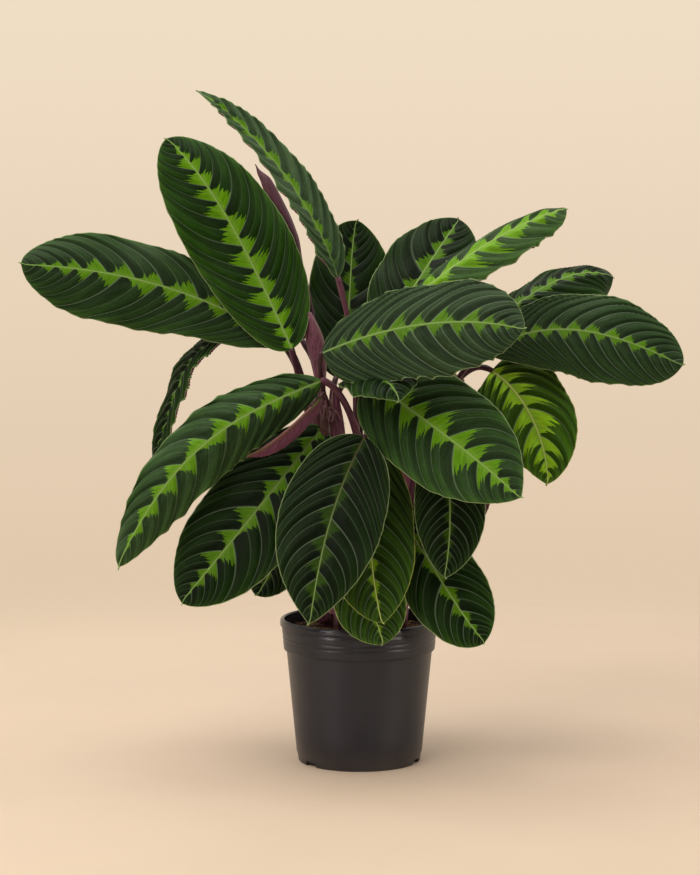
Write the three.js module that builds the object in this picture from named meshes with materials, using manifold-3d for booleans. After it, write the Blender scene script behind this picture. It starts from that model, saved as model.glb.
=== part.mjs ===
// Potted calathea: a clump of five leafy shoots standing in potting soil in a plain nursery pot.
// Millimetres, +Z up. The origin is the middle of the pot's underside, on the surface it stands on.
// +X is to the right and -Y is towards someone who faces the plant's best side.
import * as THREE from "three";
import { mergeVertices } from "three/addons/utils/BufferGeometryUtils.js";
import Module from "manifold-3d";

const wasm = await Module();
wasm.setup();

// ---- Driving dimensions ----

const POT_HEIGHT = 154;
const POT_RIM_RADIUS = 85;
const POT_BASE_RADIUS = 65.5;
const POT_WALL = 2.2;
const POT_FLOOR = 2.5;
const POT_SEGMENTS = 48;
const EDGE_ROUND = 1; // broken edges round the underside, foot and band
const INNER_CORNER = 2; // fillet between the floor and the wall
const FOOT_HEIGHT = 9; // the plain foot below the body
const FOOT_RECESS = 0.8; // how far the foot's top lies inside the body
const BODY_FOOT_RADIUS = 66.5; // the body widens evenly from here
const BODY_TOP_RADIUS = 78.2; // to here, under the band
const BAND_BOTTOM = 121; // the stacking band below the lip
const BAND_STEP = 2.8; // how far the band stands out of the body
const GROOVE_HEIGHTS = [131.5, 136.5];
const GROOVE_DEPTH = 0.5;
const GROOVE_HALF = 0.8;
const LIP_DEPTH = 8;
const LIP_STEP = 1.7; // how far the lip stands out of the band
const LIP_ROUND = 1.3; // radius of the lip's rolled edge

const SLOT_ANGLES = [-142, -22, 98]; // drain slots round the foot, degrees from +X
const SLOT_WIDTH = 17;
const SLOT_HEIGHT = 5;
const SLOT_DEPTH = 7; // from the foot's edge inwards

const GAP = 0.3; // between pieces that touch

const SOIL_EDGE = 141; // height of the soil at the wall
const SOIL_MOUND = 4; // how much higher it is in the middle
const SOIL_CRUMB = 1.6; // height of its crumbs
const SOIL_STEP = 1; // how much wider it is inside the band
const SOIL_RINGS = 6;
const SOIL_SEGMENTS = 26;
const SOIL_SEED = 7;

const BLADE_THICKNESS = 0.9;
const KEEL = 1.5; // extra depth of the midrib under a blade, at the stalk
const RIB_HALF_AT_STALK = 2.6;
const RIB_HALF_AT_TIP = 0.5;
const BODY_END = 0.965; // where the blade ends and the drip tip starts
const ROUNDNESS = 0.5; // of the outline towards the stalk
const FULLNESS = 2.1; // of the outline towards the tip
const WAVES = 3; // long waves along a margin
const WAVE_LAG = 2; // radians between the waves of the two margins

const STALK_SIDES = 6;
const STALK_RINGS = 8;
const FOOT_SIDES = 10;
const STALK_RADIUS = 2.5;
const SHEATH_RADIUS = 4.2;
const SHEATH_TAPER = [0.1, 0.7]; // the shares of a stalk between which its sheath thins out
const SHEATHED = 40; // how far a stalk's start lies inside its bundle
const BUNDLE_TAPER = 0.25; // the share of its radius that a bundle loses by its top
const FOOT_DEPTH = 34; // how deep a shoot stands in the soil

// Each shoot: where its foot stands, the foot's radius, and how high its bundle of sheaths reaches.
const SHOOTS = {
  left: { foot: [-36, 6], radius: 6.6, top: 330 },
  front: { foot: [-22, -22], radius: 5.6, top: 320 },
  middle: { foot: [-4, 10], radius: 5, top: 300 },
  right: { foot: [46, -2], radius: 4.6, top: 210 },
  back: { foot: [16, 44], radius: 6, top: 230 },
};

// Each leaf: its shoot, four points that its midrib passes through from stalk to tip, which way its
// upper side faces at the stalk and at the tip, and its width. The rest says how it differs from a
// plain leaf: where it is widest, how full its outline is at the stalk (shoulder) and how tapered at
// the tip (point), how many degrees each half rises from the midrib (fold) and bends on the way to
// the margin (curl), the height of its margin's waves, the height where its stalk parts from the
// bundle (no higher than the bundle allows), and how far the stalk runs on upwards out of the bundle
// (rise) and straight into the blade (arch).
const PLAIN_LEAF = {
  widest: 0.54, shoulder: 2.4, point: 0.6, fold: 0, curl: -8, wave: 2,
  parts: 400, rise: 90, arch: 60,
};
const LEAVES = {
  top_left: {
    shoot: "left", rib: [[-71, -25, 444], [-109, 0, 523], [-154, 25, 602], [-208, 50, 667]],
    faces: [[-0.35, -0.9, 0.2], [0.45, -0.85, 0.3]], width: 110,
    fold: -6, curl: -12, arch: 70, shoulder: 2.1,
  },
  far_left: {
    shoot: "left", rib: [[-81, 8, 449], [-174, 20, 496], [-267, 14, 522], [-361, 0, 532]],
    faces: [[0.1, -0.9, 0.45], [0, -0.9, 0.4]], width: 108,
    widest: 0.62, shoulder: 1.5, fold: -8, curl: -22, wave: 4, arch: 25,
  },
  top_middle: {
    shoot: "middle", rib: [[-23, -15, 519], [-56, -25, 593], [-107, -35, 661], [-169, -45, 714]],
    faces: [[0.55, -0.5, 0.65], [0.55, -0.5, 0.65]], width: 78,
    point: 1.1, fold: 8, curl: 6, wave: 4, rise: 130, arch: 90, widest: 0.3,
  },
  back_upright: {
    shoot: "middle", rib: [[-25, 40, 409], [-13, 75, 464], [-9, 110, 522], [-3, 135, 578]],
    faces: [[0.1, -0.95, 0.3], [0.1, -0.95, 0.3]], width: 90,
    fold: 4, curl: -10,
  },
  back_right: {
    shoot: "back", rib: [[27, 15, 461], [55, 45, 501], [83, 80, 541], [111, 115, 579]],
    faces: [[-0.25, -0.9, 0.35], [-0.25, -0.9, 0.35]], width: 98,
    fold: 4, curl: -10, arch: 70,
  },
  upper_right: {
    shoot: "back", rib: [[34, -10, 476], [91, -20, 525], [154, -25, 566], [218, -30, 592]],
    faces: [[-0.3, -0.42, 0.85], [-0.3, -0.42, 0.85]], width: 84,
    fold: -5, curl: -14, wave: 3, arch: 90, point: 0.5,
  },
  centre_right: {
    shoot: "front", rib: [[-39, -60, 442], [28, -110, 468], [97, -165, 480], [163, -205, 474]],
    faces: [[-0.45, -0.75, 0.42], [-0.45, -0.75, 0.42]], width: 110,
    widest: 0.58, fold: -8, curl: -20, wave: 3, rise: 110, arch: 18,
  },
  under_centre: {
    shoot: "front", rib: [[-14, -38, 409], [8, -82, 413], [28, -122, 412], [40, -150, 399]],
    faces: [[0.1, -0.35, 0.93], [0.1, -0.5, 0.85]], width: 80,
    fold: -4, arch: 40, widest: 0.6, shoulder: 1.4,
  },
  lower_right: {
    shoot: "middle", rib: [[9, -32, 414], [62, -98, 379], [112, -158, 345], [160, -205, 306]],
    faces: [[-0.4, -0.8, 0.45], [-0.4, -0.8, 0.45]], width: 112,
    widest: 0.5, shoulder: 3.4, wave: 2.5, arch: 50,
  },
  right_low: {
    shoot: "right", rib: [[141, 5, 419], [167, -15, 395], [188, -40, 356], [197, -60, 303]],
    faces: [[0.1, -0.9, 0.3], [0.1, -0.95, 0.15]], width: 92,
    widest: 0.5, shoulder: 2.6, fold: 4, rise: 120,
  },
  far_right: {
    shoot: "right", rib: [[134, -10, 442], [200, -35, 465], [268, -50, 457], [339, -50, 427]],
    faces: [[-0.1, -0.9, 0.4], [0, -0.9, 0.4]], width: 102,
    widest: 0.58, fold: -8, curl: -20, wave: 3, shoulder: 1.6, rise: 120, point: 0.5,
  },
  right_back: {
    shoot: "right", rib: [[131, 25, 463], [179, 50, 494], [229, 80, 517], [280, 100, 515]],
    faces: [[-0.3, -0.4, 0.87], [-0.2, -0.5, 0.85]], width: 88,
    widest: 0.68, fold: -5, curl: -16, arch: 70, point: 0.45, rise: 120, shoulder: 1.8,
  },
  left_low: {
    shoot: "front", rib: [[-40, -60, 413], [-118, -100, 380], [-186, -125, 326], [-248, -140, 227]],
    faces: [[0.1, -0.95, 0.2], [-0.1, -0.93, 0.2]], width: 86,
    fold: -16, curl: -42, wave: 2.5, arch: 25, rise: 80,
  },
  curled: {
    shoot: "front", rib: [[-40, -80, 397], [-62, -97, 376], [-89, -108, 354], [-117, -112, 340]],
    faces: [[0.3, 0.9, -0.3], [0.3, 0.9, -0.3]], width: 34,
    point: 0.9, fold: 40, curl: 60, wave: 0, arch: 30,
  },
  low_left: {
    shoot: "front", rib: [[-39, -55, 364], [-88, -85, 304], [-135, -105, 247], [-185, -115, 187]],
    faces: [[-0.2, -0.9, 0.35], [-0.15, -0.95, 0.3]], width: 110, rise: 100, arch: 25,
  },
  front: {
    shoot: "front", rib: [[5, -95, 358], [-23, -125, 297], [-40, -150, 237], [-51, -160, 172]],
    faces: [[-0.1, -0.95, 0.3], [-0.1, -0.97, 0.2]], width: 108,
    widest: 0.44, point: 0.88, arch: 25, rise: 140,
  },
  front_green: {
    shoot: "front", rib: [[22, -48, 335], [12, -78, 282], [13, -105, 225], [23, -125, 167]],
    faces: [[0.1, -0.95, 0.3], [0.1, -0.95, 0.3]], width: 92,
    point: 0.7, fold: 3, wave: 1.5, rise: 60, parts: 230,
  },
  front_small: {
    shoot: "front", rib: [[-10, -55, 240], [2, -78, 206], [14, -93, 175], [25, -103, 142]],
    faces: [[0, -0.9, 0.45], [0, -0.95, 0.3]], width: 74,
    widest: 0.58, fold: 2, wave: 1, rise: 50, arch: 35, parts: 175,
  },
  right_mid: {
    shoot: "right", rib: [[91, -70, 352], [93, -82, 304], [93, -92, 258], [87, -100, 211]],
    faces: [[0, -0.95, 0.2], [0, -0.95, 0.2]], width: 74,
    widest: 0.48, point: 0.75, fold: 2, wave: 1.5, rise: 100,
  },
  right_bottom: {
    shoot: "right", rib: [[38, -25, 273], [69, -54, 229], [100, -78, 182], [131, -92, 142]],
    faces: [[0, -0.9, 0.4], [0.1, -0.95, 0.3]], width: 86,
    widest: 0.55, rise: 70, parts: 165,
  },
  left_hanging: {
    shoot: "left", rib: [[-138, 42, 452], [-183, 50, 423], [-206, 54, 368], [-227, 52, 310]],
    faces: [[-0.5, -0.3, 0.8], [-0.9, -0.35, 0.2]], width: 78,
    fold: 6, curl: -6, wave: 4, arch: 40, rise: 140,
  },
  behind_left: {
    shoot: "left", rib: [[-62, 30, 282], [-78, 30, 241], [-93, 25, 206], [-111, 15, 174]],
    faces: [[-0.1, -0.9, 0.35], [-0.1, -0.9, 0.35]], width: 64,
    fold: 2, wave: 1, rise: 60, arch: 50, parts: 190,
  },
  back_left: {
    shoot: "back", rib: [[-50, 60, 380], [-95, 105, 388], [-140, 145, 360], [-170, 175, 300]],
    faces: [[-0.2, -0.1, 0.95], [-0.6, 0.3, 0.7]], width: 88,
    fold: 4, curl: -14,
  },
  back_middle: {
    shoot: "back", rib: [[22, 70, 400], [50, 125, 418], [78, 175, 405], [100, 215, 360]],
    faces: [[0, -0.2, 0.95], [0.3, 0.4, 0.8]], width: 92,
    fold: 4, curl: -14, wave: 2.5,
  },
  back_high_left: {
    shoot: "left", rib: [[-62, 60, 448], [-98, 105, 500], [-128, 150, 535], [-154, 190, 552]],
    faces: [[-0.3, -0.2, 0.9], [-0.5, 0.3, 0.8]], width: 74,
    fold: 4, curl: -14,
  },
  back_high_right: {
    shoot: "back", rib: [[44, 70, 430], [78, 120, 468], [108, 165, 484], [134, 205, 478]],
    faces: [[0.2, -0.3, 0.9], [0.4, 0.2, 0.85]], width: 86,
    fold: 4, curl: -14,
  },
  back_low_left: {
    shoot: "back", rib: [[-35, 75, 300], [-65, 105, 285], [-88, 130, 245], [-100, 145, 190]],
    faces: [[-0.2, 0.3, 0.9], [-0.4, 0.8, 0.3]], width: 78,
    fold: 4, curl: -12, rise: 70, arch: 50,
  },
  back_low: {
    shoot: "back", rib: [[12, 85, 330], [20, 120, 322], [24, 150, 280], [24, 165, 215]],
    faces: [[0, 0.3, 0.9], [0, 0.95, 0.3]], width: 84,
    fold: 4, curl: -12, rise: 90, arch: 50,
  },
  back_right_low: {
    shoot: "right", rib: [[60, 50, 330], [90, 85, 328], [114, 115, 292], [128, 135, 235]],
    faces: [[0.2, 0.2, 0.9], [0.5, 0.7, 0.4]], width: 78,
    fold: 4, curl: -12, rise: 90, arch: 50,
  },
};
for (const name in LEAVES) LEAVES[name] = { ...PLAIN_LEAF, ...LEAVES[name] };

// The one young leaf that is still rolled up, on the left shoot. Its sheath swells to a broad mouth.
const FURLED = {
  shoot: "left", rib: [[-49, 30, 462], [-65, 40, 533], [-87, 50, 587], [-112, 60, 638]],
  radius: 6, parts: 300, rise: 60, arch: 60,
};
const FURLED_SIDES = 8;
const FURLED_RINGS = 12;
const FURLED_FOOT = 0.22; // where the roll starts and how far it goes through a half sine of thickness
const FURLED_SPAN = 0.76;
const FURLED_SWELL = 0.8;
const FURLED_TIP = 0.4;
const MOUTH_RADIUS = 8.5;
const MOUTH_AT = 0.82; // the mouth's place and length as shares of the stalk
const MOUTH_LENGTH = 0.13;
const MOUTH_TAPER = 1.5;
const MOUTH_RINGS = 12;

// ---- Colours and finishes ----

const PLASTIC = { color: 0x3a3634, roughness: 0.45, metalness: 0 };
const PEAT = { color: 0x3b2a1c, roughness: 1, metalness: 0 };
const STALK = { color: 0x5a2f3c, roughness: 0.5, metalness: 0 };
const BLADE = { color: 0x2f5a26, roughness: 0.4, metalness: 0 };
const UNDERSIDE = { color: 0x6b3a4d, roughness: 0.5, metalness: 0 };

// ---- Small tools ----

const vector = ([x, y, z]) => new THREE.Vector3(x, y, z);
const mix = THREE.MathUtils.lerp;
const radians = THREE.MathUtils.degToRad;

// The cubic curve that passes through four points, a third of its parameter apart.
function curveThrough(points) {
  const [a, b, c, d] = points.map(vector);
  const sum = (wa, wb, wc, wd) =>
    new THREE.Vector3()
      .addScaledVector(a, wa)
      .addScaledVector(b, wb)
      .addScaledVector(c, wc)
      .addScaledVector(d, wd);
  const first = sum(-5 / 6, 3, -3 / 2, 1 / 3);
  const second = sum(1 / 3, -3 / 2, 3, -5 / 6);
  return new THREE.CubicBezierCurve3(a, first, second, d);
}

function geometryOf(vertices, triangles) {
  return new THREE.BufferGeometry()
    .setAttribute("position", new THREE.Float32BufferAttribute(vertices, 3))
    .setIndex(triangles);
}

// A closed three.js geometry as a manifold solid, and back.
function solidOf(geometry) {
  const bare = geometry.clone();
  bare.deleteAttribute("normal");
  bare.deleteAttribute("uv");
  const merged = mergeVertices(bare, 1e-4);
  return new wasm.Manifold(
    new wasm.Mesh({
      numProp: 3,
      vertProperties: new Float32Array(merged.attributes.position.array),
      triVerts: new Uint32Array(merged.index.array),
    }),
  );
}

function geometryFrom(solid) {
  const mesh = solid.getMesh();
  return geometryOf(Array.from(mesh.vertProperties), Array.from(mesh.triVerts));
}

const group = new THREE.Group();
group.name = "potted_calathea";

function addMesh(name, geometry, finish) {
  geometry.computeVertexNormals();
  const mesh = new THREE.Mesh(geometry, new THREE.MeshStandardMaterial(finish));
  mesh.name = name;
  group.add(mesh);
}

// A round tube along a curve whose radius follows radiusAt(t), closed at both ends.
function taperedTube(curve, radiusAt, rings, sides) {
  const frames = curve.computeFrenetFrames(rings, false);
  const vertices = [];
  const triangles = [];
  for (let i = 0; i <= rings; i++) {
    const centre = curve.getPointAt(i / rings);
    const radius = radiusAt(i / rings);
    for (let k = 0; k < sides; k++) {
      const turn = (2 * Math.PI * k) / sides;
      const point = centre
        .clone()
        .addScaledVector(frames.normals[i], radius * Math.cos(turn))
        .addScaledVector(frames.binormals[i], radius * Math.sin(turn));
      vertices.push(...point);
    }
  }
  const corner = (i, k) => i * sides + (k % sides);
  for (let i = 0; i < rings; i++)
    for (let k = 0; k < sides; k++) {
      triangles.push(corner(i, k), corner(i, k + 1), corner(i + 1, k + 1));
      triangles.push(corner(i, k), corner(i + 1, k + 1), corner(i + 1, k));
    }
  for (let k = 1; k < sides - 1; k++) {
    triangles.push(corner(0, 0), corner(0, k + 1), corner(0, k));
    triangles.push(corner(rings, 0), corner(rings, k), corner(rings, k + 1));
  }
  return geometryOf(vertices, triangles);
}

// ---- The pot: one moulded shell with a stacking band, a rolled lip and drain slots ----

// Radius of the body's outside at a height.
function bodyRadius(z) {
  return mix(BODY_FOOT_RADIUS, BODY_TOP_RADIUS, z / BAND_BOTTOM);
}

function potGeometry() {
  const bandFoot = bodyRadius(BAND_BOTTOM) + BAND_STEP;
  const lipUnder = POT_HEIGHT - LIP_DEPTH;
  const bandRadius = (z) =>
    mix(bandFoot, POT_RIM_RADIUS - LIP_STEP, (z - BAND_BOTTOM) / (lipUnder - BAND_BOTTOM));
  const grooves = GROOVE_HEIGHTS.flatMap((z) => [
    [bandRadius(z), z - GROOVE_HALF],
    [bandRadius(z) - GROOVE_DEPTH, z],
    [bandRadius(z), z + GROOVE_HALF],
  ]);
  const outside = [
    [0, 0],
    [POT_BASE_RADIUS - EDGE_ROUND, 0],
    [POT_BASE_RADIUS, EDGE_ROUND],
    [bodyRadius(FOOT_HEIGHT) - FOOT_RECESS, FOOT_HEIGHT],
    [bodyRadius(FOOT_HEIGHT + EDGE_ROUND), FOOT_HEIGHT + EDGE_ROUND],
    [bodyRadius(BAND_BOTTOM - EDGE_ROUND), BAND_BOTTOM - EDGE_ROUND],
    [bandFoot, BAND_BOTTOM],
    ...grooves,
    [bandRadius(lipUnder), lipUnder],
    [POT_RIM_RADIUS, lipUnder + LIP_ROUND],
    [POT_RIM_RADIUS, POT_HEIGHT - 2 * LIP_ROUND],
    [POT_RIM_RADIUS - LIP_ROUND, POT_HEIGHT - LIP_ROUND / 3],
    [POT_RIM_RADIUS - 2 * LIP_ROUND, POT_HEIGHT],
    [POT_RIM_RADIUS - 3 * LIP_ROUND, POT_HEIGHT - LIP_ROUND],
  ];
  const inside = [
    [bandRadius(lipUnder) - POT_WALL, lipUnder - LIP_ROUND],
    [bandFoot - POT_WALL, BAND_BOTTOM],
    [bodyRadius(BAND_BOTTOM - BAND_STEP) - POT_WALL, BAND_BOTTOM - BAND_STEP],
    [bodyRadius(POT_FLOOR + INNER_CORNER) - POT_WALL, POT_FLOOR + INNER_CORNER],
    [bodyRadius(POT_FLOOR) - POT_WALL - INNER_CORNER, POT_FLOOR],
    [0, POT_FLOOR],
  ];
  const lathe = new THREE.LatheGeometry(
    [...outside, ...inside].map(([r, z]) => new THREE.Vector2(r, z)),
    POT_SEGMENTS,
  ).rotateX(Math.PI / 2);
  let pot = solidOf(lathe);
  for (const angle of SLOT_ANGLES) {
    const slot = new THREE.BoxGeometry(2 * SLOT_DEPTH, SLOT_WIDTH, 2 * SLOT_HEIGHT)
      .translate(BODY_FOOT_RADIUS, 0, 0)
      .rotateZ(radians(angle));
    pot = pot.subtract(solidOf(slot));
  }
  return geometryFrom(pot);
}

// ---- The soil: it fills the pot, mounded and crumbly on top, with a hole for each shoot ----

function soilGeometry() {
  const inner = (z) => bodyRadius(z) - POT_WALL - 2 * GAP;
  const bottom = POT_FLOOR + GAP;
  const corner = bottom + 2 * INNER_CORNER;
  const shoulder = BAND_BOTTOM - 2 * BAND_STEP;
  const edge = inner(shoulder) + SOIL_STEP;
  const rows = [
    [inner(bottom) - INNER_CORNER, bottom],
    [inner(corner), corner],
    [inner(shoulder), shoulder],
    [edge, BAND_BOTTOM + EDGE_ROUND],
    [edge, SOIL_EDGE],
  ];
  for (let ring = 1; ring < SOIL_RINGS; ring++) {
    const share = 1 - ring / SOIL_RINGS;
    rows.push([edge * share, SOIL_EDGE + SOIL_MOUND * (1 - share * share)]);
  }
  THREE.MathUtils.seededRandom(SOIL_SEED);
  const vertices = [0, 0, bottom];
  for (const [radius, z] of rows)
    for (let k = 0; k < SOIL_SEGMENTS; k++) {
      const turn = (2 * Math.PI * k) / SOIL_SEGMENTS;
      const crumb = z >= SOIL_EDGE ? SOIL_CRUMB * THREE.MathUtils.seededRandom() : 0;
      vertices.push(radius * Math.cos(turn), radius * Math.sin(turn), z + crumb);
    }
  vertices.push(0, 0, SOIL_EDGE + SOIL_MOUND);
  const triangles = [];
  const at = (row, k) => 1 + row * SOIL_SEGMENTS + (k % SOIL_SEGMENTS);
  const last = rows.length - 1;
  for (let k = 0; k < SOIL_SEGMENTS; k++) {
    triangles.push(0, at(0, k + 1), at(0, k));
    triangles.push(at(last, k), at(last, k + 1), vertices.length / 3 - 1);
    for (let row = 0; row < last; row++) {
      triangles.push(at(row, k), at(row, k + 1), at(row + 1, k + 1));
      triangles.push(at(row, k), at(row + 1, k + 1), at(row + 1, k));
    }
  }
  let soil = solidOf(geometryOf(vertices, triangles));
  for (const { foot, radius } of Object.values(SHOOTS)) {
    const wide = radius + 2 * GAP;
    const hole = new THREE.CylinderGeometry(wide, wide, 2 * FOOT_DEPTH, FOOT_SIDES)
      .rotateX(Math.PI / 2)
      .translate(foot[0], foot[1], SOIL_EDGE);
    soil = soil.subtract(solidOf(hole));
  }
  return geometryFrom(soil);
}

// ---- The blades ----

// Half-width of a blade at u (0 at the stalk, 1 at the tip), as a share of its widest half-width.
function outlineShare({ widest, shoulder, point }, u) {
  if (u >= BODY_END) return 0;
  if (u < widest) return (1 - (1 - u / widest) ** shoulder) ** ROUNDNESS;
  return (1 - ((u - widest) / (BODY_END - widest)) ** FULLNESS) ** point;
}

// A point of the blade's middle surface and the way its upper side faces there.
// v runs from -1 at one margin, over 0 on the midrib, to 1 at the other.
function bladePoint(leaf, rib, u, v) {
  const along = rib.getTangent(u);
  const [from, to] = leaf.faces.map(vector);
  const face = from.lerp(to, u);
  face.addScaledVector(along, -face.dot(along)).normalize();
  const across = along.clone().cross(face);
  const share = outlineShare(leaf, u);
  const half = Math.max((leaf.width / 2) * share, mix(RIB_HALF_AT_STALK, RIB_HALF_AT_TIP, u));
  const reach = half * Math.abs(v);
  const tilt = radians(leaf.fold + leaf.curl * Math.abs(v));
  const mean = radians(leaf.fold + (leaf.curl * Math.abs(v)) / 2);
  const phase = 2 * Math.PI * WAVES * u + (v > 0 ? 0 : WAVE_LAG);
  const wave = leaf.wave * share * v * v * Math.sin(phase);
  const side = Math.sign(v);
  const point = rib
    .getPoint(u)
    .addScaledVector(across, side * reach * Math.cos(mean))
    .addScaledVector(face, reach * Math.sin(mean) + wave);
  const normal = face
    .clone()
    .multiplyScalar(Math.cos(tilt))
    .addScaledVector(across, -side * Math.sin(tilt));
  return { point, normal };
}

const STATIONS = [0, 0.012, 0.05, 0.11, 0.18, 0.26, 0.34, 0.42, 0.5, 0.58, 0.66, 0.74, 0.82,
  0.9, 0.945, 0.967, 1];
const STRIPS = [-1, -0.5, 0, 0.5, 1];

function bladeGeometry(leaf) {
  const rib = curveThrough(leaf.rib);
  const vertices = [];
  const triangles = [];
  for (const sideOfBlade of [0.5, -0.5])
    for (const u of STATIONS)
      for (const v of STRIPS) {
        const { point, normal } = bladePoint(leaf, rib, u, v);
        const keel = v === 0 && sideOfBlade < 0 ? KEEL * (1 - u) : 0;
        point.addScaledVector(normal, sideOfBlade * BLADE_THICKNESS - keel);
        vertices.push(...point);
      }
  const across = STRIPS.length;
  const lower = STATIONS.length * across;
  const at = (i, j) => i * across + j;
  const face = (a, b, c) => {
    triangles.push(a, b, c, lower + a, lower + c, lower + b);
  };
  const edge = (a, b) => {
    triangles.push(a, lower + a, lower + b, a, lower + b, b);
  };
  for (let i = 0; i + 1 < STATIONS.length; i++) {
    for (let j = 0; j + 1 < across; j++) {
      const [a, b, c, d] = [at(i, j), at(i, j + 1), at(i + 1, j + 1), at(i + 1, j)];
      if (STRIPS[j] < 0) {
        face(a, b, c);
        face(a, c, d);
      } else {
        face(a, b, d);
        face(b, c, d);
      }
    }
    edge(at(i + 1, 0), at(i, 0));
    edge(at(i, across - 1), at(i + 1, across - 1));
  }
  for (let j = 0; j + 1 < across; j++) {
    edge(at(0, j), at(0, j + 1));
    edge(at(STATIONS.length - 1, j + 1), at(STATIONS.length - 1, j));
  }
  return geometryOf(vertices, triangles);
}

// ---- The shoots: a foot in the soil and the stalks that part from it, each with its sheath ----

// A stalk leaves the foot upwards and runs into its blade along the midrib.
function stalkCurve(leaf) {
  const { foot, top } = SHOOTS[leaf.shoot];
  const start = new THREE.Vector3(foot[0], foot[1], Math.min(leaf.parts, top - SHEATHED));
  const into = curveThrough(leaf.rib).getTangent(0);
  const end = vector(leaf.rib[0]).addScaledVector(into, -GAP);
  const lift = start.clone().add(new THREE.Vector3(0, 0, leaf.rise));
  const lead = end.clone().addScaledVector(into, -leaf.arch);
  return new THREE.CubicBezierCurve3(start, lift, lead, end);
}

function stalkRadius(t) {
  return mix(SHEATH_RADIUS, STALK_RADIUS, THREE.MathUtils.smoothstep(t, ...SHEATH_TAPER));
}

// The sheath of the rolled leaf swells before its mouth.
function openSheathRadius(t) {
  const swell = Math.exp(-(((t - MOUTH_AT) / MOUTH_LENGTH) ** 2));
  return mix(SHEATH_RADIUS, MOUTH_RADIUS, swell) - MOUTH_TAPER * t;
}

function shootGeometry(name, shoot) {
  const [x, y] = shoot.foot;
  const column = new THREE.LineCurve3(
    new THREE.Vector3(x, y, SOIL_EDGE - FOOT_DEPTH + GAP),
    new THREE.Vector3(x, y, shoot.top),
  );
  const columnRadius = (t) => shoot.radius * (1 - BUNDLE_TAPER * t);
  let solid = solidOf(taperedTube(column, columnRadius, 1, FOOT_SIDES));
  for (const leaf of Object.values(LEAVES).filter((one) => one.shoot === name)) {
    const stalk = taperedTube(stalkCurve(leaf), stalkRadius, STALK_RINGS, STALK_SIDES);
    solid = solid.add(solidOf(stalk));
  }
  if (FURLED.shoot === name) {
    const stalk = taperedTube(stalkCurve(FURLED), openSheathRadius, MOUTH_RINGS, FURLED_SIDES);
    solid = solid.add(solidOf(stalk));
  }
  return geometryFrom(solid);
}

// The rolled leaf: a slim spike, thickest a third of the way up.
function furledRadius(t) {
  const thickness = Math.sin(Math.PI * (FURLED_FOOT + FURLED_SPAN * t)) ** FURLED_SWELL;
  return FURLED.radius * thickness + FURLED_TIP;
}

// ---- Assembly ----

addMesh("pot", potGeometry(), PLASTIC);
addMesh("soil", soilGeometry(), PEAT);
for (const [name, shoot] of Object.entries(SHOOTS))
  addMesh("shoot_" + name, shootGeometry(name, shoot), STALK);
for (const [name, leaf] of Object.entries(LEAVES))
  addMesh("blade_" + name, bladeGeometry(leaf), name === "curled" ? UNDERSIDE : BLADE);
addMesh(
  "furled_leaf",
  taperedTube(curveThrough(FURLED.rib), furledRadius, FURLED_RINGS, FURLED_SIDES),
  UNDERSIDE,
);

export default group;
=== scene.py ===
import math

import bmesh
import bpy
import numpy as np
from mathutils import Matrix, Vector, noise


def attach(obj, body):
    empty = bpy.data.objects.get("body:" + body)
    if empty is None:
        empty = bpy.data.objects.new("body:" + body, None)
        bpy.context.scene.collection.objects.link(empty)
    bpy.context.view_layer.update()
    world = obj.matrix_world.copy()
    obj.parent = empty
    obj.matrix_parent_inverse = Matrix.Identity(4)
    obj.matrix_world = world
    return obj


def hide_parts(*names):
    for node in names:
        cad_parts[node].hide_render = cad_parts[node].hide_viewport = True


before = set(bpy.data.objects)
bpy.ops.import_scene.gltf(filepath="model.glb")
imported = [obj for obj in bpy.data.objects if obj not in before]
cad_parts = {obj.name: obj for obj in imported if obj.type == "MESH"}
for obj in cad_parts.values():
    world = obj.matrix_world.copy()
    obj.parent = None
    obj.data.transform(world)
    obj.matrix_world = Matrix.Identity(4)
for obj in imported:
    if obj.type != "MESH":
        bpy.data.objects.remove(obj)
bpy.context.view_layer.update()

# ---- The pot ----
# A nursery pot, thermoformed in one piece from charcoal polypropylene sheet: a foot with drain slots,
# a plain body that widens upwards, a stacking band with two soft grooves, and a rolled lip.

MM = 0.001
POT_HEIGHT = 154
POT_RIM_RADIUS = 85
POT_BASE_RADIUS = 65.5
POT_WALL = 2.2
POT_FLOOR = 2.5
FOOT_RING = 12  # width of the flat ring that the pot stands on
FOOT_ROUND = 1.2
FOOT_HEIGHT = 9
FOOT_RECESS = 0.8
BODY_FOOT_RADIUS = 66.5
BODY_TOP_RADIUS = 78.2
BODY_RINGS = (30, 50, 70, 90, 108)
BODY_TURN = (2.4, 1.0)  # below the band, where the wall starts to turn out to it
BAND_BOTTOM = 121
BAND_STEP = 2.8
GROOVE_HEIGHTS = (131.5, 136.5)
GROOVE_DEPTH = 0.5
GROOVE_HALF = 0.8
GROOVE_RINGS = (-1.4, -1, -0.5, 0, 0.5, 1, 1.4)  # in twice the groove's half width
LIP_DEPTH = 8
LIP_STEP = 1.7
LIP_ROUND = 1.5
LIP_TOP = 2.6  # radius of the lip's upper edge
LIP_UNDERCUT = 0.8
POT_TURN_STEPS = 160
SHARP_EDGE = math.radians(50)
SLOT_ANGLES = (-142, -22, 98)
SLOT_SIZE = (14, 17, 10)  # through the foot's edge, along it, and from 5 mm below it to 5 mm above
SLOT_ROUND = 1.2

PLASTIC = "#1a1c25"
# lighter grey of the painted gloss streaks
PLASTIC_GLOSS_STREAKS = "#2f3236"
DUST = "#7d6c58"


def linear(colour):
    """An sRGB hex colour as linear red, green, blue and alpha."""
    shares = [int(colour[i:i + 2], 16) / 255 for i in (1, 3, 5)]
    return [s / 12.92 if s <= 0.04045 else ((s + 0.055) / 1.055) ** 2.4 for s in shares] + [1.0]


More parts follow.
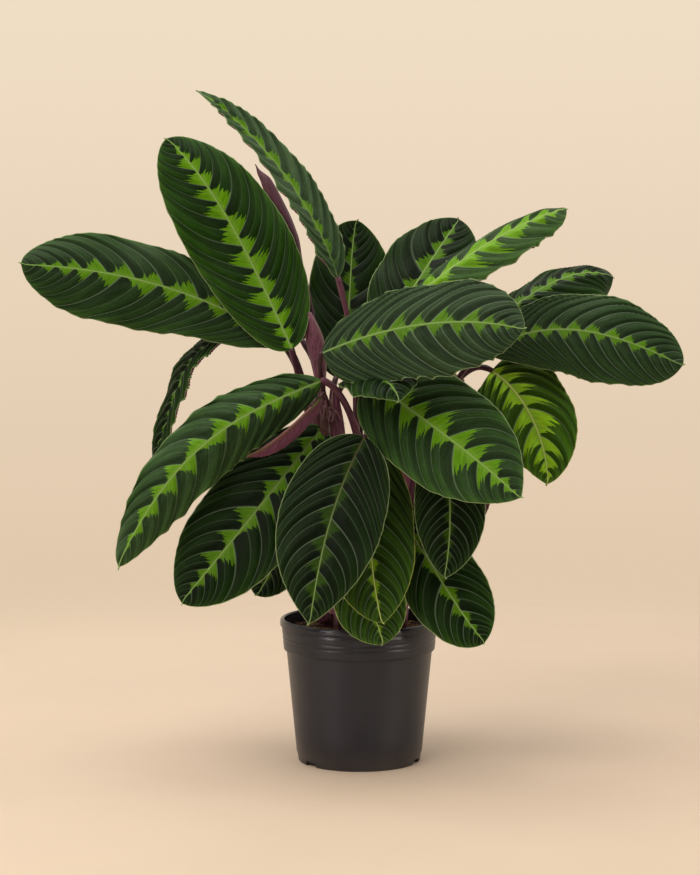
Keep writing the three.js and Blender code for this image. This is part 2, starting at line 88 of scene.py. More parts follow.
def wire(tree, node, sockets):
    """Sets a node's inputs, by name or as a list in the node's own order. Each is a value, an output
    that is linked to it, or another node, whose first output in use is linked to it."""
    named = sockets if isinstance(sockets, dict) else dict(enumerate(sockets))
    for socket, value in named.items():
        if isinstance(value, bpy.types.Node):
            value = next(output for output in value.outputs if output.enabled)
        if isinstance(value, bpy.types.NodeSocket):
            tree.links.new(value, node.inputs[socket])
        else:
            node.inputs[socket].default_value = value


def add(tree, kind, sockets=(), **settings):
    """Adds a node with its settings and inputs. A map range lists its value, the two ends that the
    value runs between, and what those ends become."""
    made = tree.nodes.new("ShaderNode" + kind)
    for name, value in settings.items():
        setattr(made, name, value)
    wire(tree, made, sockets)
    return made


def new_material(name):
    """A new material, its node tree and its surface shader."""
    material = bpy.data.materials.new(name)
    material.use_nodes = True
    tree = material.node_tree
    return material, tree, tree.nodes["Principled BSDF"]


def show(name, data):
    """A mesh, lamp or camera as an object in the scene."""
    shown = bpy.data.objects.new(name, data)
    bpy.context.scene.collection.objects.link(shown)
    return shown


def add_piece(name, mesh, materials, slot, *nodes):
    """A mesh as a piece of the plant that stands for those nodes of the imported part."""
    piece = show(name, mesh)
    for material in materials:
        mesh.materials.append(material)
    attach(piece, "root")
    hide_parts(*nodes)
    return piece


def mesh_from(bm, name):
    """The mesh of a bmesh, with smooth shading."""
    mesh = bpy.data.meshes.new(name)
    for face in bm.faces:
        face.smooth = True
    bm.to_mesh(mesh)
    bm.free()
    return mesh


def turned(profile, steps):
    """A bmesh of a profile of radii and heights in millimetres, turned once round the Z axis."""
    bm = bmesh.new()
    verts = [bm.verts.new((radius * MM, 0, height * MM)) for radius, height in profile]
    edges = [bm.edges.new(pair) for pair in zip(verts, verts[1:])]
    bmesh.ops.spin(bm, geom=verts + edges, angle=2 * math.pi, steps=steps, axis=(0, 0, 1),
                   cent=(0, 0, 0), use_merge=True)
    bmesh.ops.remove_doubles(bm, verts=bm.verts, dist=0.01 * MM)
    bmesh.ops.recalc_face_normals(bm, faces=bm.faces)
    return bm


def body_radius(height):
    """Outside radius of the pot's plain body."""
    return BODY_FOOT_RADIUS + (BODY_TOP_RADIUS - BODY_FOOT_RADIUS) * height / BAND_BOTTOM


def arc(radius, height, size, start, end, points=5):
    """Points of an arc of the profile round (radius, height), by angles in degrees."""
    turns = np.radians(np.linspace(start, end, points))
    return [(radius + size * math.cos(t), height + size * math.sin(t)) for t in turns]


def pot_profile():
    """The pot's wall from the middle of its underside, round the lip, to the middle of its floor."""
    under_lip = POT_HEIGHT - LIP_DEPTH
    band_foot = BODY_TOP_RADIUS + BAND_STEP
    slope = (POT_RIM_RADIUS - LIP_STEP - band_foot) / (under_lip - BAND_BOTTOM)

    def band(height):
        return band_foot + slope * (height - BAND_BOTTOM)

    profile = [(0, 0), (POT_BASE_RADIUS - FOOT_RING, 0.0)]
    profile += arc(POT_BASE_RADIUS - FOOT_ROUND, FOOT_ROUND, FOOT_ROUND, -90, 0)
    profile += [(body_radius(FOOT_HEIGHT) - FOOT_RECESS, FOOT_HEIGHT)]
    profile += [(body_radius(FOOT_HEIGHT + FOOT_ROUND), FOOT_HEIGHT + FOOT_ROUND)]
    profile += [(body_radius(ring), ring) for ring in BODY_RINGS]
    profile += [(body_radius(BAND_BOTTOM - drop), BAND_BOTTOM - drop) for drop in BODY_TURN]
    profile += [(body_radius(BAND_BOTTOM) + 0.3, BAND_BOTTOM - 0.5), (band_foot - 0.6, BAND_BOTTOM - 0.3)]
    profile += [(band(BAND_BOTTOM + rise), BAND_BOTTOM + rise) for rise in (0.5, 1.5)]
    for middle in GROOVE_HEIGHTS:
        for step in GROOVE_RINGS:
            height = middle + step * 2 * GROOVE_HALF
            depth = GROOVE_DEPTH * math.cos(min(abs(step), 1) * math.pi / 2) ** 2
            profile.append((band(height) - depth, height))
    profile += [(band(under_lip - drop), under_lip - drop) for drop in (4, 3)]
    profile += [(band(under_lip) - LIP_UNDERCUT, under_lip - 1.2)]
    profile += [(band(under_lip) - LIP_UNDERCUT, under_lip - 0.2)]
    outer = POT_RIM_RADIUS - LIP_ROUND
    profile += arc(outer, under_lip + LIP_ROUND + 0.3, LIP_ROUND, -60, 0)
    profile += [(POT_RIM_RADIUS, under_lip + LIP_ROUND + 1.1), (POT_RIM_RADIUS, POT_HEIGHT - LIP_TOP - 0.8)]
    profile += arc(POT_RIM_RADIUS - LIP_TOP, POT_HEIGHT - LIP_TOP, LIP_TOP, 0, 90, 8)
    profile += arc(POT_RIM_RADIUS - LIP_TOP - 0.4, POT_HEIGHT - LIP_ROUND, LIP_ROUND, 90, 180)
    profile += [(band(under_lip) - POT_WALL, under_lip - 2), (band_foot - POT_WALL, BAND_BOTTOM)]
    profile += [(body_radius(118) - POT_WALL, 118), (body_radius(6) - POT_WALL, 6)]
    profile += [(body_radius(POT_FLOOR) - POT_WALL - 2, POT_FLOOR), (0, POT_FLOOR)]
    return profile


def cut_slots(mesh):
    """The pot's mesh with its drain slots cut through the edge of the foot."""
    tools = bmesh.new()
    for angle in SLOT_ANGLES:
        place = Matrix.Rotation(math.radians(angle), 4, "Z")
        place @= Matrix.Translation((BODY_FOOT_RADIUS * MM, 0, 0))
        place @= Matrix.Diagonal([side * MM for side in SLOT_SIZE] + [1])
        bmesh.ops.create_cube(tools, size=1, matrix=place)
    bmesh.ops.bevel(tools, geom=tools.edges, offset=SLOT_ROUND * MM, segments=3, profile=0.5,
                    affect="EDGES", material=-1)
    cutter = show("slots", mesh_from(tools, "slots"))
    shell = show("shell", mesh)
    cut = shell.modifiers.new("slots", "BOOLEAN")
    cut.object = cutter
    cut.operation = "DIFFERENCE"
    cut.solver = "EXACT"
    cut_mesh = bpy.data.meshes.new_from_object(shell.evaluated_get(bpy.context.evaluated_depsgraph_get()))
    for one in (cutter, shell):
        bpy.data.objects.remove(one)
    return cut_mesh


def polypropylene():
    """Moulded polypropylene: satin and almost black, with soft lighter streaks of painted sheen down the
    wall where the sheet was drawn, a fine grain, and a little dust above the foot."""
    material, tree, skin = new_material("thermoformed polypropylene")
    where = add(tree, "TexCoord").outputs["Object"]
    stretched = add(tree, "Mapping", {"Vector": where, "Scale": (1, 1, 0.12)})
    streaks = add(tree, "TexNoise",
                  {"Vector": stretched, "Scale": 1000 / 24, "Detail": 3.0, "Roughness": 0.6})
    grain = add(tree, "TexNoise", {"Vector": where, "Scale": 1000 / 1.6, "Detail": 2.0, "Roughness": 0.5})
    patches = add(tree, "TexNoise", {"Vector": where, "Scale": 1000 / 55, "Detail": 5.0, "Roughness": 0.65})
    # Painted sheen: lighter streaks down the wall stand in for gloss along the draw lines.
    painted_gloss_streaks = add(tree, "MapRange", [streaks, 0.5, 0.8, 0.0, 0.35])
    height = add(tree, "SeparateXYZ", [where]).outputs["Z"]
    low = add(tree, "MapRange", [height, 0.03, 0.0, 0.0, 0.2], interpolation_type="SMOOTHSTEP")
    dusty = add(tree, "Math", [low, patches], operation="MULTIPLY")
    colour = linear(PLASTIC)
    for share, coat in ((painted_gloss_streaks, PLASTIC_GLOSS_STREAKS), (dusty, DUST)):
        colour = add(tree, "Mix", {"Factor": share, "A": colour, "B": linear(coat)}, data_type="RGBA")
    matt = add(tree, "MapRange", [patches, 0.3, 0.7, 0.33, 0.42])
    rim = add(tree, "MapRange", [height, 0.148, 0.152, 1.0, 0.6])
    gloss = add(tree, "Math", [matt, rim], operation="MULTIPLY")
    relief = add(tree, "Bump", {"Height": grain, "Strength": 0.12, "Distance": 0.2 * MM})
    wire(tree, skin, {"Base Color": colour, "Roughness": gloss, "Normal": relief, "IOR": 1.49,
                      "Specular IOR Level": 0.4})
    return material


pot_mesh = cut_slots(mesh_from(turned(pot_profile(), POT_TURN_STEPS), "pot_wall"))
pot_mesh.set_sharp_from_angle(angle=SHARP_EDGE)
add_piece("nursery_pot", pot_mesh, [polypropylene()], "pot_plastic", "pot")

# ---- The soil ----
# Moist peat potting mix with bark and coir fibre, pressed in by hand to a little below the rim and
# mounded round the shoots. Loose crumbs, chips of bark and straws of coir lie on it.

GAP = 0.3
SOIL_EDGE = 141.5
SOIL_MOUND = 4
SOIL_REACH = 76  # from the middle to where the mound has run out
SOIL_LUMPS = (14, 2.2)  # size and height
SOIL_CRUMBS = (3.6, 2.4)
SOIL_TURN_STEPS = 150
SOIL_RINGS = 46
CHIPS = 900
CHIPS_REACH = 74
CHIP_LENGTH = (1.6, 5.5)
CHIP_ROUGHNESS = 0.18  # how far its corners are off, as a share of its length
STRAWS = 110
STRAWS_REACH = (70, 75)  # of their middles, and of their ends
STRAW_LENGTH = (8, 22)
STRAW_STEPS = 8
STRAW_RADIUS = 0.42

PEAT_DARK = "#1d130b"
PEAT_MID = "#3a2717"
PEAT_LIGHT = "#6b4d30"
BARK_COLOURS = ("#1f140c", "#3a2614", "#5e4226", "#94713f")
COIR = "#a88752"


def soil_height(x, y):
    """Height of the soil's top at a place, in millimetres."""
    share = min(1.0, math.hypot(x, y) / SOIL_REACH)
    lumps = noise.fractal(Vector((x, y, 3)) / SOIL_LUMPS[0], 1.0, 2.0, 3) * SOIL_LUMPS[1]
    crumbs = abs(noise.fractal(Vector((x, y, 9)) / SOIL_CRUMBS[0], 0.7, 2.1, 4)) * SOIL_CRUMBS[1]
    return SOIL_EDGE + SOIL_MOUND * (1 - share * share) + (lumps + crumbs) * min(1, 6 * (1.02 - share))


def unit(vectors):
    """Vectors of length 1. One that has no length stays as it is."""
    lengths = np.linalg.norm(vectors, axis=-1, keepdims=True)
    return vectors / np.where(lengths > 0, lengths, 1)


def vector_layer(bm, name):
    """A bmesh's layer of that name, with three numbers for each vertex."""
    return bm.verts.layers.float_vector.get(name) or bm.verts.layers.float_vector.new(name)


def tube(bm, path, radii, sides, marks, ridges=0.0, rolled=0.0, start=0.0):
    """Adds a round tube along a path in millimetres. Its fibre layer holds a place round and along it,
    and its mark layer the marks of each step. Ridges raise lobes on it that wind slowly upwards, and a
    rolled tube grows round itself from the start angle, to the edge where it overlaps."""
    fibre = vector_layer(bm, "fibre")
    mark = vector_layer(bm, "mark")
    steps = len(path) - 1
    lengths = np.concatenate([[0], np.cumsum(np.linalg.norm(np.diff(path, axis=0), axis=1))])
    along = unit(np.gradient(path, axis=0))
    side = np.zeros_like(along)
    side[0] = unit(np.cross(along[0], (0.3, 1.0, 0.1)))
    for i in range(1, steps + 1):
        side[i] = unit(side[i - 1] - along[i] * np.dot(side[i - 1], along[i]))
    other = np.cross(along, side)
    made = bmesh.ops.create_grid(bm, x_segments=steps, y_segments=sides, size=1)
    for vert in made["verts"]:
        i = round((vert.co.x + 1) / 2 * steps)
        turn = (vert.co.y + 1) * math.pi
        lobes = math.cos(3 * turn + lengths[i] / 40) + 0.6 * math.cos(7 * turn - lengths[i] / 60)
        overlap = turn / (2 * math.pi) if vert.co.y < 0.999 else 0
        radius = radii[i] * (1 + ridges * lobes + rolled * overlap)
        turn += start
        round_it = side[i] * math.cos(turn) + other[i] * math.sin(turn)
        vert.co = Vector((path[i] + radius * round_it) * MM)
        vert[fibre] = (radii[i] * math.cos(turn), radii[i] * math.sin(turn), lengths[i])
        vert[mark] = marks[i]


def close_tubes(bm):
    """Welds the seams of the tubes in a bmesh and closes their ends."""
    bmesh.ops.remove_doubles(bm, verts=bm.verts, dist=0.002 * MM)
    bmesh.ops.holes_fill(bm, edges=bm.edges, sides=0)
    bmesh.ops.recalc_face_normals(bm, faces=bm.faces)


def potting_soil():
    """Peat and bark: matt, dark where it is moist, with lighter fibres and dry crumbs."""
    material, tree, skin = new_material("potting soil of peat and bark")
    where = add(tree, "TexCoord").outputs["Object"]
    crumbs = add(tree, "TexNoise", {"Vector": where, "Scale": 1000 / 2.2, "Detail": 6.0, "Roughness": 0.7})
    patches = add(tree, "TexNoise", {"Vector": where, "Scale": 1000 / 18, "Detail": 3.0})
    bits = add(tree, "TexVoronoi", {"Vector": where, "Scale": 1000 / 1.8})
    both = add(tree, "Math", [crumbs, patches], operation="MULTIPLY")
    tone = add(tree, "ValToRGB", {"Fac": both})
    stops = tone.color_ramp.elements
    stops[0].position, stops[1].position = 0.16, 0.42
    stops[0].color, stops[1].color = linear(PEAT_DARK), linear(PEAT_LIGHT)
    stops.new(0.29).color = linear(PEAT_MID)
    relief = add(tree, "Bump", {"Height": bits, "Strength": 0.8, "Distance": 0.8 * MM})
    wire(tree, skin, {"Base Color": tone, "Normal": relief, "Roughness": 0.92})
    return material


def chip_bark():
    """Chips of pine bark and straws of coir: dry, fibrous, each its own shade of brown."""
    material, tree, skin = new_material("bark chips and coir fibre")
    shade = add(tree, "Attribute", attribute_name="mark")
    where = add(tree, "TexCoord").outputs["Object"]
    grain = add(tree, "TexNoise", {"Vector": where, "Scale": 1000 / 0.9, "Detail": 3.0, "Roughness": 0.6})
    dark = add(tree, "MapRange", [grain, 0.3, 0.75, 0.45, 1.15])
    colour = add(tree, "VectorMath", [shade, dark], operation="MULTIPLY")
    wire(tree, skin, {"Base Color": colour, "Roughness": 0.85})
    return material


def inner_radius(height):
    """How far the soil reaches at a height inside the pot, in millimetres."""
    return body_radius(height) - POT_WALL - GAP


soil_top = BODY_TOP_RADIUS + BAND_STEP - POT_WALL - 2 * GAP
rings = [(soil_top * (1 - i / SOIL_RINGS), SOIL_EDGE) for i in range(SOIL_RINGS + 1)]
soil = turned([(0, POT_FLOOR + GAP), (inner_radius(3) - 2, POT_FLOOR + GAP), (inner_radius(6), 6),
               (inner_radius(115), 115), (soil_top, BAND_BOTTOM + 1)] + rings, SOIL_TURN_STEPS)
for vert in soil.verts:
    if vert.co.z > (SOIL_EDGE - 1) * MM:
        vert.co.z = soil_height(vert.co.x / MM, vert.co.y / MM) * MM
add_piece("potting_soil", mesh_from(soil, "potting_soil"), [potting_soil()], "soil", "soil")

rng = np.random.default_rng(11)
chips = bmesh.new()
shade_layer = vector_layer(chips, "mark")
for i in range(CHIPS):
    away = CHIPS_REACH * math.sqrt(rng.random())
    turn = rng.uniform(0, 2 * math.pi)
    x, y = away * math.cos(turn), away * math.sin(turn)
    length = rng.uniform(*CHIP_LENGTH) * rng.uniform(0.5, 1)
    size = Vector((length, length * rng.uniform(0.35, 0.7), length * rng.uniform(0.15, 0.4))) / 2
    tilt = Matrix.Rotation(rng.uniform(0, 2 * math.pi), 4, "Z")
    tilt @= Matrix.Rotation(rng.uniform(-0.6, 0.6), 4, "X")
    place = Matrix.Translation(Vector((x, y, soil_height(x, y) + 0.3 * size.z)) * MM) @ tilt
    place @= Matrix.Diagonal(list(size * MM) + [1])
    made = bmesh.ops.create_icosphere(chips, subdivisions=1, radius=1, matrix=place)
    shade = linear(BARK_COLOURS[rng.integers(len(BARK_COLOURS))])[:3]
    for vert in made["verts"]:
        vert[shade_layer] = shade
        vert.co += Vector(rng.uniform(-CHIP_ROUGHNESS, CHIP_ROUGHNESS, 3)) * length * MM
for i in range(STRAWS):
    away = STRAWS_REACH[0] * math.sqrt(rng.random())
    turn = rng.uniform(0, 2 * math.pi)
    way = rng.uniform(0, 2 * math.pi) + rng.uniform(-1.2, 1.2) * np.linspace(0, 1, STRAW_STEPS + 1)
    step = rng.uniform(*STRAW_LENGTH) / STRAW_STEPS
    straw = np.zeros((STRAW_STEPS + 1, 3))
    straw[:, 0] = away * math.cos(turn) + step * np.cumsum(np.cos(way))
    straw[:, 1] = away * math.sin(turn) + step * np.cumsum(np.sin(way))
    reach = np.maximum(1, np.hypot(straw[:, 0], straw[:, 1]) / STRAWS_REACH[1])
    straw /= reach[:, None]
    ground = [soil_height(x, y) for x, y, _ in straw]
    straw[:, 2] = 0.4 * np.array(ground) + 0.6 * np.mean(ground) + rng.uniform(0.2, 1.5)
    tube(chips, straw, np.full(len(straw), STRAW_RADIUS), 5, np.tile(linear(COIR)[:3], (len(straw), 1)))
close_tubes(chips)
add_piece("bark_and_coir", mesh_from(chips, "bark_and_coir"), [chip_bark()], "soil", "soil")

# ---- The blades ----
# Each leaf is one thin blade: velvety dark green above with a feathered light green flame along the
# pale midrib, sunken side veins with the blade quilted between them, a thin pale margin and a short
# drip tip; wine purple underneath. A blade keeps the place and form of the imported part's own.

LENGTH_STEPS = 168
WIDTH_STEPS = 52
BLADE_THICKNESS = 0.45
KEEL_THICKNESS = 2.0  # of the midrib, at the stalk
KEEL_HALF = 1.9  # half-width of the midrib's swelling
KEEL_TAPER = 0.8  # share of it that is gone at the tip
UPPER_FACE = 0.45  # the upper side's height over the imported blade's middle surface
RIB_HALF = (2.4, 0.45)  # half-width of the blade at the stalk, where it is the bare midrib, and at the tip
BODY_END = 0.99  # share of the length at which the blade's own outline ends
WAVES = 3  # waves of the margin along a blade
WAVE_LAG = 2  # radians by which one half's waves are behind the other's
VEIN_SLANT = (0.7, 0.55, 0.5)  # a vein's run towards the tip, more of it at the margin and at the tip
VEIN_CROWDING = 0.045  # veins stand closer at the stalk and at the tip
VEIN_WANDER = 0.1
OTHER_SIDE = 0.45  # the veins of the two halves alternate
TIP_FOOT = 3.4  # half-width that the drip tip gains over its length
TIP_LENGTH = 0.03  # share of the leaf's length
TIP_HOOK = 2.4  # how far the drip tip bends sideways
FLAME_END = (0.8, 1.0)  # where the flame starts to narrow towards the tip, and where it ends
FLAME_SHARE = 0.62  # of the half-width that a flame may fill
PILLOW = 2.2  # how far the blade is quilted between veins
RIPPLE = 0.9  # height of the fine ripple at the margin
CHANNEL = (1.5, 0.7)  # half-width and depth of the groove over the midrib, at the stalk

# A leaf's rib runs through four places from stalk to tip, and its upper side faces two ways, at the
# stalk and at the tip. The outline has its width, where it is widest, and how full its shoulder and how
# blunt its point are. Fold and curl bend its halves, in degrees, at the midrib and on to the margin, wave
# is in millimetres, and veins are counted on one half. Ripple, frill, scallop and quilt say how strongly
# the veins shape the blade. The flame reaches that far from the midrib in millimetres, with teeth that
# are slim or full. Lines and minor are how pale the side veins and those between them are, and the rest
# are shares: lime, dull flame, painted grey sheen, dark, which paints shade over the whole leaf and
# paints light on it where it is below zero, and brown midrib.
PLAIN_LEAF = dict(
    widest=0.54, shoulder=2.4, point=0.6, fold=0, curl=-8, wave=2, veins=13, ripple=1.0, frill=0.0,
    scallop=0.008, quilt=1.0, flame=17, slim=0.9, lines=0.28, minor=0.4, lime=0.0, dull=0.0, painted_sheen=0.0,
    dark=0.0, brown=0.15)
LEAVES = {
    "top_left": dict(
        rib=((-71, -25, 444), (-109, 0, 523), (-154, 25, 602), (-208, 50, 667)),
        faces=((-0.35, -0.9, 0.2), (0.45, -0.85, 0.3)), width=110, shoulder=2.1, point=0.52, fold=-6,
        curl=-12, flame=20, slim=0.65, lines=0.24, minor=0.35, dark=-0.35),
    "far_left": dict(
        rib=((-81, 8, 449), (-174, 20, 496), (-267, 14, 522), (-361, 0, 532)),
        faces=((0.1, -0.9, 0.45), (0, -0.9, 0.4)), width=108, widest=0.62, shoulder=1.5, point=0.55,
        fold=-8, curl=-22, wave=4, veins=12, ripple=1.5, scallop=0.014, quilt=1.2, flame=15, slim=1.0,
        lines=0.36, painted_sheen=0.3, dark=-0.22),
    "top_middle": dict(
        rib=((-23, -15, 519), (-56, -25, 593), (-107, -35, 661), (-169, -45, 714)),
        faces=((0.55, -0.5, 0.65), (0.55, -0.5, 0.65)), width=66, widest=0.36, point=0.85, fold=2, curl=6,
        wave=1, veins=11, ripple=0.5, scallop=0.07, quilt=1.7, flame=11, slim=0.7, lines=0.4, painted_sheen=0.8,
        dark=-1.0),
    "back_upright": dict(
        rib=((-25, 40, 409), (-13, 75, 464), (-9, 110, 522), (-3, 135, 578)),
        faces=((0.1, -0.95, 0.3), (0.1, -0.95, 0.3)), width=90, fold=4, curl=-10, veins=9, flame=9,
        lines=0.2, dull=0.4, dark=0.4),
    "back_right": dict(
        rib=((27, 15, 461), (55, 45, 501), (83, 80, 541), (111, 115, 579)),
        faces=((-0.25, -0.9, 0.35), (-0.25, -0.9, 0.35)), width=98, fold=4, curl=-10, veins=8, flame=12,
        lines=0.2, dark=0.45),
    "upper_right": dict(
        rib=((34, -10, 476), (91, -20, 525), (154, -25, 566), (218, -30, 592)),
        faces=((-0.3, -0.42, 0.85), (-0.3, -0.42, 0.85)), width=84, widest=0.62, point=0.5, fold=-12,
        curl=-20, wave=1, veins=9, scallop=0.012, quilt=2.4, flame=42, lines=0.35, lime=0.2, painted_sheen=0.5,
        dark=-0.7),
    "centre_right": dict(
        rib=((-39, -60, 442), (28, -110, 468), (97, -165, 480), (163, -205, 474)),
        faces=((-0.45, -0.75, 0.42), (-0.45, -0.75, 0.42)), width=110, widest=0.58, shoulder=4.2,
        point=0.72, fold=-8, curl=-20, wave=3, veins=11, frill=1.6, scallop=0.03, quilt=1.8, flame=18,
        slim=1.5, lines=0.5, minor=0.6, painted_sheen=0.75, dark=0.06),
    "under_centre": dict(
        rib=((-14, -38, 409), (7, -80, 419), (27, -121, 417), (40, -150, 398)),
        faces=((0.1, -0.45, 0.9), (0.05, -0.9, 0.4)), width=72, widest=0.6, shoulder=1.4, point=1.0,
        fold=-4, veins=6, flame=4, lines=0.3, dull=0.3, dark=0.3),
    "lower_right": dict(
        rib=((9, -32, 414), (62, -98, 379), (112, -158, 345), (160, -205, 306)),
        faces=((-0.4, -0.8, 0.45), (-0.4, -0.8, 0.45)), width=112, widest=0.5, shoulder=3.4, point=0.8,
        wave=2.5, veins=10, flame=25, lines=0.34, painted_sheen=0.25, dark=-0.35),
    "right_low": dict(
        rib=((141, 5, 419), (167, -15, 395), (188, -40, 356), (197, -60, 303)),
        faces=((0.1, -0.9, 0.3), (0.1, -0.95, 0.15)), width=92, widest=0.5, shoulder=4.0, point=0.75,
        fold=4, veins=8, quilt=2.0, flame=34, slim=0.7, lines=0.45, lime=1.0, dark=-0.5, brown=0.0),
    "far_right": dict(
        rib=((134, -10, 442), (200, -35, 465), (268, -50, 457), (339, -50, 427)),
        faces=((-0.1, -0.9, 0.4), (0, -0.9, 0.4)), width=102, widest=0.58, shoulder=1.6, point=0.5, fold=-8,
        curl=-20, wave=3, veins=14, scallop=0.012, quilt=1.6, flame=10, slim=1.0, lines=0.5, minor=0.0,
        painted_sheen=0.5, dark=-0.25),
    "right_back": dict(
        rib=((131, 25, 463), (179, 50, 494), (229, 80, 517), (280, 100, 515)),
        faces=((-0.3, -0.4, 0.87), (-0.2, -0.5, 0.85)), width=88, widest=0.7, shoulder=1.8, point=0.4,
        fold=-9, curl=-18, veins=10, quilt=1.8, flame=11, lines=0.45, minor=0.2, dark=0.1),
    "left_low": dict(
        rib=((-40, -60, 413), (-118, -100, 380), (-186, -125, 326), (-248, -140, 227)),
        faces=((0.1, -0.95, 0.2), (-0.1, -0.93, 0.2)), width=86, fold=-16, curl=-42, wave=6, veins=11,
        ripple=1.5, frill=3.6, scallop=0.05, quilt=2.0, flame=16, slim=1.2, lines=0.3, painted_sheen=0.45,
        dark=-0.55),
    "curled": dict(
        rib=((-40, -80, 397), (-62, -97, 376), (-89, -108, 354), (-117, -112, 340)),
        faces=((0.3, 0.9, -0.3), (0.3, 0.9, -0.3)), width=34, point=0.9, fold=40, curl=60, wave=0, flame=3),
    "low_left": dict(
        rib=((-39, -55, 364), (-88, -85, 304), (-135, -105, 247), (-185, -115, 187)),
        faces=((-0.2, -0.9, 0.35), (-0.15, -0.95, 0.3)), width=110, veins=10, flame=18, slim=1.3,
        minor=0.35, dark=0.45, brown=0.8),
    "front": dict(
        rib=((5, -95, 358), (-23, -125, 297), (-40, -150, 237), (-51, -160, 172)),
        faces=((-0.1, -0.95, 0.3), (-0.1, -0.97, 0.2)), width=108, widest=0.44, point=0.88, veins=9,
        flame=13, slim=1.0, lines=0.3, minor=0.35, dull=0.8, painted_sheen=0.2, dark=0.6, brown=0.95),
    "front_green": dict(
        rib=((22, -48, 335), (12, -78, 282), (13, -105, 225), (23, -125, 167)),
        faces=((0.1, -0.95, 0.3), (0.1, -0.95, 0.3)), width=92, point=0.7, fold=3, wave=1.5, veins=10,
        flame=8, lines=0.34, lime=0.9, dull=0.25, dark=0.3, brown=0.0),
    "front_small": dict(
        rib=((-10, -55, 240), (2, -78, 206), (14, -93, 175), (25, -103, 142)),
        faces=((0, -0.9, 0.45), (0, -0.95, 0.3)), width=74, widest=0.58, fold=2, wave=1, veins=8, flame=6,
        lines=0.42, lime=0.5, dull=0.3, brown=0.1),
    "right_mid": dict(
        rib=((91, -70, 352), (93, -82, 304), (93, -92, 258), (87, -100, 211)),
        faces=((0, -0.95, 0.2), (0, -0.95, 0.2)), width=74, widest=0.48, point=0.75, fold=2, wave=1.5,
        veins=9, flame=7, lines=0.3, dull=0.75, dark=0.55, brown=0.3),
    "right_bottom": dict(
        rib=((38, -25, 273), (69, -54, 229), (100, -78, 182), (131, -92, 142)),
        faces=((0, -0.9, 0.4), (0.1, -0.95, 0.3)), width=86, widest=0.55, veins=9, flame=10, lines=0.32,
        dull=0.2, dark=0.25, brown=0.6),
    "left_hanging": dict(
        rib=((-138, 42, 452), (-183, 50, 423), (-206, 54, 368), (-227, 52, 310)),
        faces=((-0.5, -0.3, 0.8), (-0.9, -0.35, 0.2)), width=60, curl=-6, veins=11, ripple=0.4, frill=0.5,
        scallop=0.02, quilt=2.2, flame=6, lines=0.6, dark=0.2),
    "behind_left": dict(
        rib=((-62, 30, 282), (-78, 30, 241), (-93, 25, 206), (-111, 15, 174)),
        faces=((-0.1, -0.9, 0.35), (-0.1, -0.9, 0.35)), width=64, fold=2, wave=1, veins=7, flame=6,
        dull=0.6, dark=0.6),
    "back_left": dict(
        rib=((-50, 60, 380), (-95, 105, 388), (-140, 145, 360), (-170, 175, 300)),
        faces=((-0.2, -0.1, 0.95), (-0.6, 0.3, 0.7)), width=88, fold=4, curl=-14),
    "back_middle": dict(
        rib=((22, 70, 400), (50, 125, 418), (78, 175, 405), (100, 215, 360)),
        faces=((0, -0.2, 0.95), (0.3, 0.4, 0.8)), width=92, fold=4, curl=-14, wave=2.5),
    "back_high_left": dict(
        rib=((-62, 60, 448), (-98, 105, 500), (-128, 150, 535), (-154, 190, 552)),
        faces=((-0.3, -0.2, 0.9), (-0.5, 0.3, 0.8)), width=74, fold=4, curl=-14),
    "back_high_right": dict(
        rib=((44, 70, 430), (78, 120, 468), (108, 165, 484), (134, 205, 478)),
        faces=((0.2, -0.3, 0.9), (0.4, 0.2, 0.85)), width=86, fold=4, curl=-14),
    "back_low_left": dict(
        rib=((-35, 75, 300), (-65, 105, 285), (-88, 130, 245), (-100, 145, 190)),
        faces=((-0.2, 0.3, 0.9), (-0.4, 0.8, 0.3)), width=78, fold=4, curl=-12),
    "back_low": dict(
        rib=((12, 85, 330), (20, 120, 322), (24, 150, 280), (24, 165, 215)),
        faces=((0, 0.3, 0.9), (0, 0.95, 0.3)), width=84, fold=4, curl=-12),
    "back_right_low": dict(
        rib=((60, 50, 330), (90, 85, 328), (114, 115, 292), (128, 135, 235)),
        faces=((0.2, 0.2, 0.9), (0.5, 0.7, 0.4)), width=78, fold=4, curl=-12),
}

# Mesh attributes that carry a leaf's looks to its material, three in each.
LOOKS = {
    "tint": ("lime", "dull", "spacing"),
    "habit": ("slim", "lines", "painted_sheen"),
    "shade": ("dark", "brown", "minor"),
}
STREAKS = 15.0  # fine streaks of colour from one side vein to the next
NERVES = 5.0  # nerves between two side veins, which tear the flame's edge
STREAK_RUN = 0.07  # how slowly streaks change along a vein, for each millimetre
FIELD_FADE = 9.0  # millimetres from the margin over which the dark field turns green
VEIN_LINE = (1.1, 0.1)  # millimetres from a vein at which its line is gone, and at which it is full
MINOR_LINE = (0.95, 0.1)  # the same for the veins between
MARGIN_LINE = (1.2, 0.1)  # and for the pale margin

FIELD_DARK = "#102605"
FIELD_GREEN = "#25470c"
FIELD_EDGE = "#3c6118"
# grey of the painted sheen over the field
FIELD_PAINTED_SHEEN = "#34472f"
FIELD_LIME = "#3f6410"
FLAME = "#5a8c0a"
FLAME_RIB = "#77a034"
FLAME_LIME = "#8cc01e"
# grey of the painted sheen over the flame
FLAME_PAINTED_SHEEN = "#4e6c34"
VEIN = "#8da487"
MIDRIB = "#9fc374"
MIDRIB_LIME = "#e9f496"
MIDRIB_OLD = "#534d33"
MARGIN = "#b6cf92"
MARGIN_LIME = "#c3d163"
SHEEN = "#d5dcc4"
WINE = "#642c46"
WINE_LIGHT = "#8c5070"
WINE_RIB = "#7b5544"


def smooth(value, low, high):
    """0 up to low, 1 from high, and smooth in between."""
    share = np.clip((value - low) / (high - low), 0, 1)
    return share * share * (3 - 2 * share)


